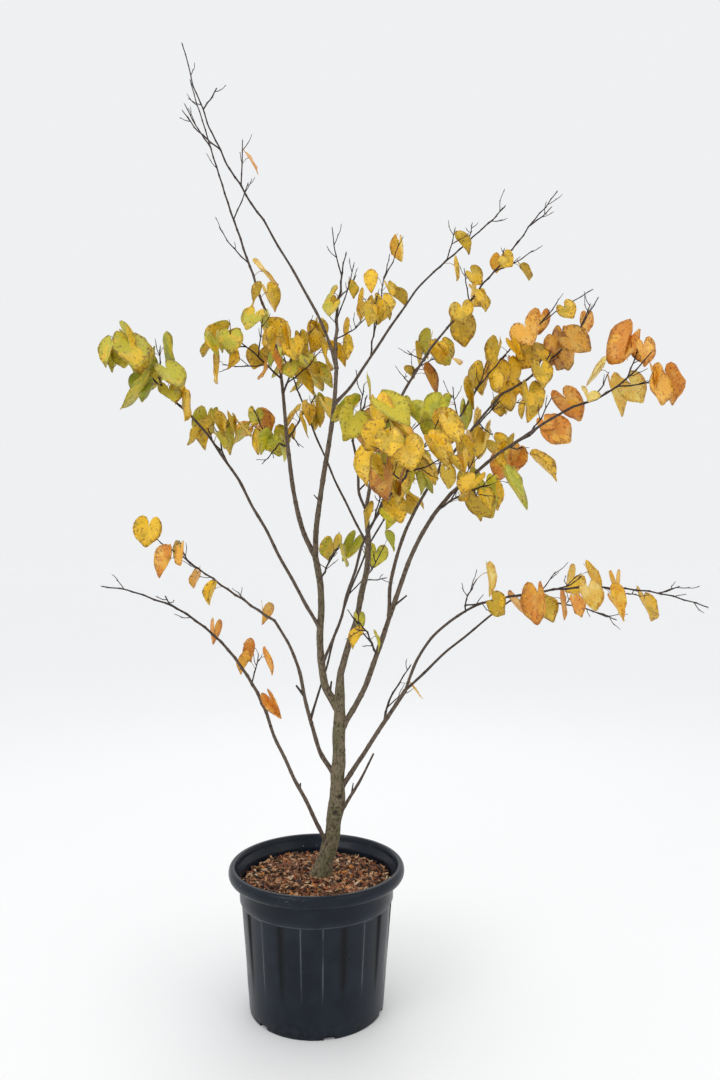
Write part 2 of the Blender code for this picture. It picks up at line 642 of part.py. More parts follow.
def section_curve(facets, collection):
    """The flat outline that a twig's tube is drawn with."""
    curve = bpy.data.curves.new("section", "CURVE")
    curve.dimensions = "2D"
    spline = curve.splines.new("POLY")
    spline.points.add(facets - 1)
    for place, point in enumerate(spline.points):
        turn = 2 * math.pi * place / facets
        point.co = (math.cos(turn), math.sin(turn), 0.0, 1.0)
    spline.use_cyclic_u = True
    section = object_from("section", curve, collection)
    section.hide_render = True
    return section


def tube(name, points, radii, section, collection):
    """A tapering tube along a line, made a mesh with closed ends."""
    curve = bpy.data.curves.new(name, "CURVE")
    curve.dimensions = "3D"
    curve.use_fill_caps = True
    curve.bevel_mode = "OBJECT"
    curve.bevel_object = section
    spline = curve.splines.new("POLY")
    spline.points.add(len(points) - 1)
    for place, point, radius in zip(spline.points, points, radii):
        place.co = (*point, 1.0)
        place.radius = radius
    drawn = object_from(name + "_curve", curve, collection)
    mesh = frozen_mesh(drawn)
    bpy.data.objects.remove(drawn, do_unlink=True)
    return object_from(name, mesh, collection)


def boolean(obj, operation, other):
    """Adds a Boolean with one object or with a collection."""
    modifier = obj.modifiers.new(operation.lower(), "BOOLEAN")
    modifier.operation = operation
    modifier.solver = "EXACT"
    if isinstance(other, bpy.types.Collection):
        modifier.operand_type = "COLLECTION"
        modifier.collection = other
    else:
        modifier.object = other
    return modifier


def apply_modifiers(obj):
    """Replaces the object's mesh with its own modified shape."""
    mesh = frozen_mesh(obj)
    obj.modifiers.clear()
    obj.data = mesh


def pieces_of(shape):
    """The faces of a mesh in groups that hang together."""
    left = set(shape.faces)
    groups = []
    while left:
        group = set()
        front = {left.pop()}
        while front:
            face = front.pop()
            group.add(face)
            for edge in face.edges:
                fresh = {other for other in edge.link_faces if other in left}
                left -= fresh
                front |= fresh
        groups.append(group)
    return groups


def box_size(faces):
    """Diagonal of the box round some faces."""
    points = np.array([vert.co for face in faces for vert in face.verts])
    return float(np.linalg.norm(points.max(axis=0) - points.min(axis=0)))


def keep_largest(obj):
    """Drops loose scrap, and fills hollows that fusing sealed, by keeping one outer skin."""
    shape = bmesh.new()
    shape.from_mesh(obj.data)
    groups = sorted(pieces_of(shape), key=box_size)
    for scrap in groups[:-1]:
        bmesh.ops.delete(shape, geom=list(scrap), context="FACES")
    loose = [vert for vert in shape.verts if not vert.link_faces]
    bmesh.ops.delete(shape, geom=loose, context="VERTS")
    bmesh.ops.triangulate(shape, faces=shape.faces)
    shape.to_mesh(obj.data)
    shape.free()


def grown_tube(name, skeleton, section, collection):
    """A limb's tube made larger by the gap all round and past its ends."""
    line = skeleton.lines[name].copy()
    line[0] -= unit(line[1] - line[0]) * ROOT_SUNK
    line[-1] += unit(line[-1] - line[-2]) * GAP
    radii = skeleton.radii[name] + GAP / math.cos(math.pi / LIMB_FACETS)
    return tube(name + "_clear", line, radii, section, collection)


def cut_clear(obj, carriers, skeleton, sections, cutters):
    """Cuts a limb or a stem clear of the limbs that it starts from."""
    for carrier in carriers:
        section = sections[limb_facets(carrier, skeleton)]
        cutter = grown_tube(carrier, skeleton, section, cutters)
        boolean(obj, "DIFFERENCE", cutter)
        apply_modifiers(obj)
        bpy.data.objects.remove(cutter, do_unlink=True)
    keep_largest(obj)


def make_limb(name, skeleton, carriers, sections, tree, cutters):
    """A bough as one tube that ends against what carries it."""
    section = sections[limb_facets(name, skeleton)]
    limb = tube(name, skeleton.lines[name], skeleton.radii[name], section, tree)
    cut_clear(limb, carriers, skeleton, sections, cutters)
    return limb


def limb_facets(name, skeleton):
    """Facets round a limb: more on a thick one."""
    return THICK_FACETS if skeleton.radii[name][0] > THICK_LIMB else LIMB_FACETS


def make_trunk(skeleton, sections, tree):
    """The trunk, cut level where it meets the potting mix."""
    trunk = tube(TRUNK.name, skeleton.lines["trunk"], skeleton.radii["trunk"], sections[THICK_FACETS], tree)
    shape = bmesh.new()
    shape.from_mesh(trunk.data)
    cut = bmesh.ops.bisect_plane(
        shape,
        geom=shape.verts[:] + shape.edges[:] + shape.faces[:],
        plane_co=TRUNK_FOOT,
        plane_no=(0, 0, 1),
        clear_inner=True,
    )
    rim = [item for item in cut["geom_cut"] if isinstance(item, bmesh.types.BMEdge)]
    bmesh.ops.contextual_create(shape, geom=rim)
    bmesh.ops.recalc_face_normals(shape, faces=shape.faces)
    shape.to_mesh(trunk.data)
    shape.free()
    return trunk


def closed_pairs(verts):
    """Each vertex of a closed outline with the next one."""
    return zip(verts, verts[1:] + verts[:1])


def make_stalk(leaf, shape):
    """Draws a leaf's stalk with three sides, and gives the left, right and top of its open end."""
    node, sinus = leaf.stalk[0], leaf.at(0.0, 0.0)
    heading = unit(sinus - node)
    bend = unit(heading + leaf.along)
    side = unit(leaf.across - float(leaf.across @ bend) * bend)
    rings = []
    for centre, axis, radius in ((node, heading, STALK_RADIUS), (sinus, bend, STALK_TIP)):
        level = unit(side - float(side @ axis) * axis)
        ways = (-level, level, np.cross(axis, level))
        rings.append([shape.verts.new(centre + radius * way) for way in ways])
    shape.faces.new(rings[0])
    for one, other in zip(closed_pairs(rings[0]), closed_pairs(rings[1])):
        shape.faces.new((*one, *reversed(other)))
    return rings[1]


def make_leaf(leaf, name, collection):
    """A leaf and its stalk as one closed solid, folded along the midrib and thinning out to its rim."""
    shape = bmesh.new()
    left, right, top = make_stalk(leaf, shape)
    rim = [left]
    for turn in (*(-turn for turn in LEAF_CORNERS), 0.0, *reversed(LEAF_CORNERS)):
        reach = leaf_edge(turn)
        rim.append(shape.verts.new(leaf.at(reach * math.cos(turn), reach * math.sin(turn))))
    rim.append(right)
    for outline, half in ((rim, -0.5), ([*rim, top], 0.5)):
        proud = half * LEAF_THICKNESS * leaf.face
        middle = shape.verts.new(leaf.at(LEAF_MIDDLE, 0.0) + proud)
        for one, other in closed_pairs(outline):
            shape.faces.new((middle, one, other))
    bmesh.ops.recalc_face_normals(shape, faces=shape.faces)
    mesh = bpy.data.meshes.new(name)
    shape.to_mesh(mesh)
    shape.free()
    return object_from(name, mesh, collection)


def make_spray(growth, skeleton, sections, tree, cutters):
    """A mass of foliage: stem, shoots, stalks and leaves fused into one solid."""
    spray = growth.spray
    stem = tube(spray.name, growth.stem, skeleton.radii[spray.name], sections[3], tree)
    carriers = carriers_of(spray.carrier, spray.at, LIMBS)
    cut_clear(stem, carriers, skeleton, sections, cutters)
    parts = bpy.data.collections.new(spray.name + "_parts")
    cutters.children.link(parts)
    for number, shoot in enumerate(growth.shoots):
        radii = taper(SHOOT_ROOT, TWIG_TIP, len(shoot))
        tube(f"{spray.name}_shoot_{number}", shoot, radii, sections[3], parts)
    for number, leaf in enumerate(growth.leaves):
        make_leaf(leaf, f"{spray.name}_leaf_{number}", parts)
    boolean(stem, "UNION", parts)
    apply_modifiers(stem)
    for part in list(parts.objects):
        bpy.data.objects.remove(part, do_unlink=True)
    bpy.data.collections.remove(parts)
    keep_largest(stem)
    return stem


def turned(name, profile, steps, collection):
    """A solid turned from a profile of radius and height, given from its top outer side down."""
    mesh = bpy.data.meshes.new(name)
    shape = bmesh.new()
    points = [shape.verts.new((radius, 0.0, height)) for radius, height in profile]
    for one, other in zip(points, points[1:]):
        shape.edges.new((one, other))
    shape.to_mesh(mesh)
    shape.free()
    obj = object_from(name, mesh, collection)
    screw = obj.modifiers.new("turn", "SCREW")
    screw.steps = steps
    screw.render_steps = steps
    screw.use_merge_vertices = True
    screw.merge_threshold = 0.01 * MM
    screw.use_smooth_shade = False
    apply_modifiers(obj)
    return obj


def body_radius(height):
    """Outer radius of the pot's sloping body at a height."""
    return BASE_RADIUS + (BODY_RADIUS - BASE_RADIUS) * height / COLLAR_FOOT


def inner_radius(height):
    """Radius of the pot's inside at a height."""
    return body_radius(height) - POT_WALL


def pot_profile():
    """The pot's wall: rolled lip, collar, body, underside, floor and inside."""
    rolled = LIP_HEIGHT / 2
    centre = (LIP_RADIUS - rolled * 0.62, POT_HEIGHT - rolled)
    roll = []
    for step in range(5):
        turn = math.radians(90 - step * 43)
        roll.append((centre[0] + 0.62 * rolled * math.cos(turn), centre[1] + rolled * math.sin(turn)))
    lip_foot = POT_HEIGHT - LIP_HEIGHT
    return [
        (0.0, POT_FLOOR),
        (inner_radius(POT_FLOOR), POT_FLOOR),
        (inner_radius(COLLAR_FOOT), COLLAR_FOOT),
        (COLLAR_RADIUS - COLLAR_WALL, COLLAR_FOOT + 0.015),
        (COLLAR_RADIUS - COLLAR_WALL, lip_foot),
        (LIP_INNER_RADIUS - 0.004, lip_foot + 0.012),
        (LIP_INNER_RADIUS, POT_HEIGHT - 0.006),
        (LIP_INNER_RADIUS + 0.003, POT_HEIGHT - 0.001),
        *roll,
        (COLLAR_RADIUS + 0.004, lip_foot + 0.001),
        (COLLAR_RADIUS, lip_foot - 0.004),
        (COLLAR_RADIUS - 0.001, COLLAR_FOOT + 0.003),
        (BODY_RADIUS, COLLAR_FOOT),
        (BASE_RADIUS, 0.0),
        (0.0, 0.0),
    ]


def flute_cutter(turn, collection):
    """A wedge that takes one flute from the pot's side: deepest at the top, none at the foot."""
    half = math.pi / FLUTE_COUNT / 2
    top = COLLAR_FOOT - 0.004
    shape = bmesh.new()
    bmesh.ops.create_cube(shape, size=1.0)
    for vert in shape.verts:
        height = top if vert.co.z > 0 else FLUTE_FOOT
        depth = FLUTE_DEPTH if vert.co.z > 0 else -FLUTE_RUN_OUT
        reach = body_radius(height) * math.cos(half) - depth
        if vert.co.x > 0:
            reach = body_radius(height) + 0.03
        vert.co = (reach, math.copysign(body_radius(height) * math.sin(half), vert.co.y), height)
    mesh = bpy.data.meshes.new("flute")
    bmesh.ops.recalc_face_normals(shape, faces=shape.faces)
    shape.to_mesh(mesh)
    shape.free()
    cutter = object_from("flute", mesh, collection)
    cutter.rotation_euler.z = turn - math.pi / 2
    return cutter


def notch_cutter(turn, collection):
    """A block that takes one drain notch from the pot's bottom edge."""
    shape = bmesh.new()
    bmesh.ops.create_cube(shape, size=1.0)
    outer = BASE_RADIUS + 0.01
    inner = BASE_RADIUS - NOTCH_DEPTH
    for vert in shape.verts:
        vert.co.x = outer if vert.co.x > 0 else inner
        vert.co.y *= NOTCH_WIDTH
        vert.co.z = NOTCH_HEIGHT if vert.co.z > 0 else -0.01
    mesh = bpy.data.meshes.new("notch")
    shape.to_mesh(mesh)
    shape.free()
    cutter = object_from("notch", mesh, collection)
    cutter.rotation_euler.z = turn - math.pi / 2
    return cutter


def make_pot(tree, cutters):
    """The nursery pot, with flutes round its side and drain notches round its foot."""
    pot = turned("pot", pot_profile(), POT_STEPS, tree)
    tools = bpy.data.collections.new("pot_tools")
    cutters.children.link(tools)
    for number in range(FLUTE_COUNT):
        flute_cutter(FLUTE_FIRST + 2 * math.pi * number / FLUTE_COUNT, tools)
    for number in range(NOTCH_COUNT):
        notch_cutter(NOTCH_FIRST + 2 * math.pi * number / NOTCH_COUNT, tools)
    boolean(pot, "DIFFERENCE", tools)
    apply_modifiers(pot)
    for tool in list(tools.objects):
        bpy.data.objects.remove(tool, do_unlink=True)
    bpy.data.collections.remove(tools)
    keep_largest(pot)
    return pot


def make_mix(tree):
    """The potting mix: fills the pot, a little higher round the trunk."""
    edge = MIX_TOP - MIX_EDGE_DROP
    floor = POT_FLOOR + GAP
    rim = COLLAR_RADIUS - COLLAR_WALL - SLOPED_GAP
    profile = [
        (0.0, MIX_TOP),
        (MIX_MOUND_RADIUS, MIX_TOP),
        (rim - 0.02, edge + 0.001),
        (rim, edge),
        (rim, COLLAR_FOOT + 0.015),
        (inner_radius(COLLAR_FOOT) - SLOPED_GAP, COLLAR_FOOT),
        (inner_radius(floor) - SLOPED_GAP, floor),
        (0.0, floor),
    ]
    return turned("potting_mix", profile, POT_STEPS, tree)


def carriers_of(parent, at, built):
    """The limbs that a bough or stem starts from: its parent, and others that leave the same spot."""
    shared = [other.name for other in built if other.parent == parent and other.at == at]
    return [parent, *shared]


def dress(obj, material):
    """Gives a piece its finish, smooth on its round sides."""
    obj.data.materials.clear()
    obj.data.materials.append(material)
    obj.data.shade_smooth()
    obj.data.set_sharp_from_angle(angle=math.radians(40))


def main():
    """Builds every piece of the tree."""
    tree, cutters = clear_scene()
    finishes = {name: new_material(name) for name in FINISHES}
    sections = {facets: section_curve(facets, cutters) for facets in (3, LIMB_FACETS, THICK_FACETS)}
    skeleton = Skeleton()
    dress(make_pot(tree, cutters), finishes["pot"])
    dress(make_mix(tree), finishes["mix"])
    dress(make_trunk(skeleton, sections, tree), finishes["bark"])
    for place, limb in enumerate(LIMBS):
        carriers = carriers_of(limb.parent, limb.at, LIMBS[:place])
        dress(make_limb(limb.name, skeleton, carriers, sections, tree, cutters), finishes["bark"])
    for growth in grow_sprays(skeleton):
        dress(make_spray(growth, skeleton, sections, tree, cutters), finishes["leaf"])
    for section in sections.values():
        bpy.data.objects.remove(section, do_unlink=True)
    bpy.data.collections.remove(cutters)


if __name__ == "__main__":
    main()
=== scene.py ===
"""Looks of a young redbud tree in autumn leaf, standing in a fluted nursery pot.

Metres, +Z up, and -Y is the front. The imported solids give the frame. Bark surfaces replace the
limbs, and twigs, stalks and leaves replace each spray: they grow by the solids' own seeded rule
and carry on to finer twigs.
"""

import logging
import math
from dataclasses import dataclass, field
from enum import Enum
from random import Random

import bpy
import numpy as np
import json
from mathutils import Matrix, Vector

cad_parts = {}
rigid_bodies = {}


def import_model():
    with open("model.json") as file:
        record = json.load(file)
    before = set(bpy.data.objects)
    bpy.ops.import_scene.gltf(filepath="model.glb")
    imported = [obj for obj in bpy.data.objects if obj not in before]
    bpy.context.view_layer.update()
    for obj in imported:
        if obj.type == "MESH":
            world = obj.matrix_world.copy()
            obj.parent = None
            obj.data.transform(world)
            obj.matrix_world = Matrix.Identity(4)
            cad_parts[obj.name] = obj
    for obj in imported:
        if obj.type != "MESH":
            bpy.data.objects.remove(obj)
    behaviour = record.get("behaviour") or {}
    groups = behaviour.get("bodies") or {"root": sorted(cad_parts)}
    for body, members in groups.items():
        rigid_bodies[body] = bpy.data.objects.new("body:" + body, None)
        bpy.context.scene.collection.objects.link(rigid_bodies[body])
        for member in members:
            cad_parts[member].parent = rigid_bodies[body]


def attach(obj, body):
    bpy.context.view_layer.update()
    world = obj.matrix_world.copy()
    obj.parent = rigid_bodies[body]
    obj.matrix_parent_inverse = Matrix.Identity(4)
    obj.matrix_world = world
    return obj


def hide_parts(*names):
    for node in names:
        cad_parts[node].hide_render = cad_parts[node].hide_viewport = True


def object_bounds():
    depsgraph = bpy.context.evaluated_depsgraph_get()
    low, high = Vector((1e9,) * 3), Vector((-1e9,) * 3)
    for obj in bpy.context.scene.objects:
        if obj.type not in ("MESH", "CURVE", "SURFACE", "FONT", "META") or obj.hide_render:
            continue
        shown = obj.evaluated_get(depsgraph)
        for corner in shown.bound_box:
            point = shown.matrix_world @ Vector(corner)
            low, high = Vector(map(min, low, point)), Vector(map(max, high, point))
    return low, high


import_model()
CAD_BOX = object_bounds()
CAD_LOW, CAD_HIGH = (np.array(corner) for corner in CAD_BOX)

LOG = logging.getLogger("redbud_tree")
BODY = "root"
MM = 0.001
UP = np.array([0.0, 0.0, 1.0])
RIGHT = np.array([1.0, 0.0, 0.0])
NOWHERE = np.full((1, 3), 100.0)
STRAIGHT = (0.0, 0.0, 0.0)

Array = np.ndarray
Colour = tuple[float, float, float]
Point = tuple[float, float, float]
Socket = bpy.types.NodeSocket
Material = bpy.types.Material


class Tint(Enum):
    """The autumn colours that the leaves come in."""

    GOLD = "gold"
    AMBER = "amber"
    LIME = "lime"
    OLIVE = "olive"
    GREEN = "green"
    RUST = "rust"
    PALE = "pale"
    BRIGHT = "bright"


class Span(Enum):
    """Ranges that the growth rule draws from."""

    LEAF_SIZE = (0.78, 1.14)
    SMALL_LEAF_SIZE = (0.54, 0.84)
    NODE_SHIFT = (-0.06, 0.06)
    KINK_TURN = (-0.6, 0.6)
    KINK_SIZE = (0.5, 1.2)
    FOLDED = (0.95, 1.3)
    OPENED = (0.08, 0.42)
    CURL = (-0.04, 0.16)
    SPIN = (-1.4, 1.4)
    STALK_SHARE = (0.32, 0.62)
    STALK_TURN = (-0.7, 0.7)
    STALK_FORWARD = (0.2, 0.7)
    STALK_RISE = (-0.1, 0.8)
    LEVEL_HANG = (0.05, 0.9)
    DOWN_HANG = (0.35, 1.0)
    NODE_TURN = (-0.8, 0.8)
    SHOOT_SHIFT = (0.0, 0.6)
    SHOOT_TURN = (-0.9, 0.9)
    SHOOT_SLOPE = (0.6, 1.0)
    SHOOT_SIZE = (0.7, 1.15)
    FINE_PLACE = (0.35, 0.95)
    FINE_TURN = (-1.2, 1.2)
    FINE_SPREAD = (0.5, 1.0)
    FINE_RISE = (0.0, 0.4)
    FINE_LENGTH = (0.020, 0.062)
    TINT_SHIFT = (-0.45, 0.45)
    LOPSIDED = (-0.07, 0.07)
    BREADTH = (0.93, 1.06)
    WAVE = (0.3, 1.5)
    CUP_ALONG = (-0.10, 0.16)
    CUP_ACROSS = (-0.10, 0.22)
    TWIST = (-0.22, 0.22)

    def draw(self, rng: Random) -> float:
        """One even draw from the range."""
        return rng.uniform(*self.value)


@dataclass(frozen=True)
class Limb:
    """One bough: where it leaves its parent, its tip, its bow, its diameters in mm, its sway."""

    name: str
    parent: str
    at: float
    tip: Point
    bow: Point
    root_diameter: float
    tip_diameter: float
    sway: Point = STRAIGHT


@dataclass(frozen=True)
class Spray:
    """One mass of foliage: its stem, its leaves, its shoots, and its tints from root to tip."""

    name: str
    carrier: str
    at: float
    tip: Point
    bow: Point
    leaves: int
    leaf_length: float
    leafy: tuple[float, float]
    shoots: int
    shoot_length: float
    seed: int
    tints: tuple[Tint, ...]


@dataclass(frozen=True)
class Stub:
    """A short spur left by pruning or by a dead shoot."""

    carrier: str
    at: float
    heading: Point
    length: float
    root: float
    tip: float


@dataclass(frozen=True)
class Knot:
    """A swollen scar on the trunk, by its height, its turn from the front in degrees, its size."""

    height: float
    turn: float
    size: float
    depth: float


POT_LIP_TOP = 0.3887
MIX_TOP = 0.345
GAP = 0.3 * MM
TRUNK_FOOT = (0.011, 0.010, MIX_TOP + GAP)
TRUNK_SUNK = 0.02
TRUNK_POINTS = 11
TRUNK_TAPER = 0.45
FLARE = 0.007
FLARE_HEIGHT = 0.032
LIMB_STEP = 0.075
KINK = 2.2 * MM
SWAY_PEAK = 10.39
NEARLY_UPRIGHT = 0.01
TWIG_STEP = 0.062
TWIG_TIP = 1.1 * MM
TWIG_KINK = 2.5 * MM
STEM_SHARE = 0.6
STEM_MOST = 2.6 * MM
SHOOT_ROOT = 1.7 * MM
BARE_ROOT = 14.0 * MM

LEAF_SPREAD = 0.16
LEAF_TRIES = 14
SHARE_FOLDED = 0.16
STALK_DROP = 0.18
STALK_REACH = 0.94
STALK_MIDDLE = 0.55
LEVEL_NUDGE = 0.02
NODE_PITCH = 0.03
SHOOT_NODES = (0.45, 0.75, 1.0)
LAST_NODE = 0.985
NODE_SLACK = 0.01
SHOOT_TRIES = 8
SHOOT_FIRST = 0.14
SHOOT_RANGE = 0.72
SHOOT_LONGEST = 1.15
SHOOT_SHORTENING = 0.5
SHOOT_LIFT = 0.2
SHOOT_BOW = 0.06
SHOOT_SAG = 0.8

SAMPLE_SPOKES = 5
SAMPLE_TURN = 0.52
SAMPLE_PITCH = 0.2
SHOOT_PROBES = 12
SHOOT_SKIPPED = 0.1
FIT_PROBES = 8
FIT_SKIPPED = 0.3
STALK_PROBES = 4
STALK_SKIPPED = 0.3
OTHER_SPRAY_CLEAR = 16.0 * MM
OWN_LEAF_CLEAR = 9.0 * MM
LIMB_CLEAR = 10.0 * MM
TWIG_CLEAR = 5.0 * MM
SMALL_LEAF_CLEAR = 4.5 * MM
SMALL_LEAF_SHARE = 0.85
CROWN_FOOT = 1.35
CROWN_LEAVES = 4

TRUNK = Limb("trunk", "", 0.0, (0.065, -0.005, 0.905), (0.020, 0.005, -0.005), 41, 17,
             (0.005, 0, 0))

LIMBS = (
    Limb("left_stem", "trunk", 0.86, (-0.005, 0.03, 1.225), (-0.02, 0, -0.01), 18, 15,
         (-0.015, 0, -0.005)),
    Limb("centre_stem", "trunk", 1.0, (0.135, 0.04, 1.355), (0.025, 0, -0.005), 16, 12,
         (-0.005, 0, 0)),
    Limb("right_stem", "trunk", 0.77, (0.355, -0.12, 1.395), (-0.005, 0.02, 0.01), 14, 8.5,
         (0.015, 0, -0.01)),
    Limb("low_left_bough", "trunk", 0.29, (-0.125, -0.12, 0.825), (-0.01, -0.01, 0.01), 9.5, 7,
         (0, 0, 0.005)),
    Limb("second_left_bough", "trunk", 0.58, (-0.125, 0.11, 1.04), (0, 0, -0.005), 11, 6.5,
         (-0.015, 0, -0.005)),
    Limb("low_right_bough", "trunk", 0.51, (0.24, -0.05, 0.87), (0, 0.005, 0), 11.5, 9.5),
    Limb("dead_spur", "trunk", 0.38, (0.155, -0.05, 0.70), (0, 0, -0.005), 7, 3),
    Limb("tall_leader", "left_stem", 1.0, (0.055, -0.03, 1.735), (0, -0.02, 0), 13.5, 9,
         (-0.005, 0, 0)),
    Limb("left_leader", "left_stem", 1.0, (-0.155, 0.17, 1.935), (-0.01, 0.01, -0.015), 12.5, 6,
         (-0.015, 0, -0.005)),
    Limb("left_high_bough", "left_stem", 0.55, (-0.315, -0.17, 1.595), (0.005, 0, 0.02), 8.5, 5,
         (-0.005, 0, -0.005)),
    Limb("front_bough", "left_stem", 0.32, (0.215, -0.26, 1.41), (-0.01, 0, 0.025), 7, 5,
         (0.01, 0, -0.005)),
    Limb("tall_upper", "tall_leader", 1.0, (-0.145, 0.02, 2.15), (0.015, 0, 0.005), 8, 4.5,
         (0.005, 0, 0)),
    Limb("back_leader", "tall_leader", 0.81, (0.335, 0.20, 2.06), (-0.005, 0, -0.005), 7.5, 4.5,
         (0.005, 0, -0.005)),
    Limb("far_bough", "centre_stem", 1.0, (0.375, 0.20, 1.895), (-0.04, 0, 0.01), 9, 5.5),
    Limb("centre_bough", "centre_stem", 1.0, (0.10, -0.18, 1.525), (-0.005, 0, 0.005), 7, 5,
         (-0.005, 0, 0)),
    Limb("back_shoot", "centre_stem", 0.79, (-0.065, 0.28, 1.71), (-0.005, 0, -0.01), 6, 4.5),
    Limb("inner_shoot", "second_left_bough", 0.38, (0.19, 0.26, 1.33), (-0.02, 0, 0), 5.5, 4.5,
         (0.005, 0, 0)),
    Limb("right_bough", "right_stem", 1.0, (0.645, -0.22, 1.605), (-0.005, 0, 0.01), 8, 5),
    Limb("rising_bough", "right_stem", 0.48, (0.52, 0.09, 1.685), (-0.065, 0, 0.02), 9, 5.5,
         (-0.01, 0, 0)),
    Limb("low_right_upper", "low_right_bough", 1.0, (0.495, -0.17, 1.13), (-0.035, 0, 0.045), 7, 5),
    Limb("low_right_lower", "low_right_bough", 1.0, (0.545, 0.09, 1.10), (-0.01, 0, 0), 6.5, 4.5),
)

T = Tint

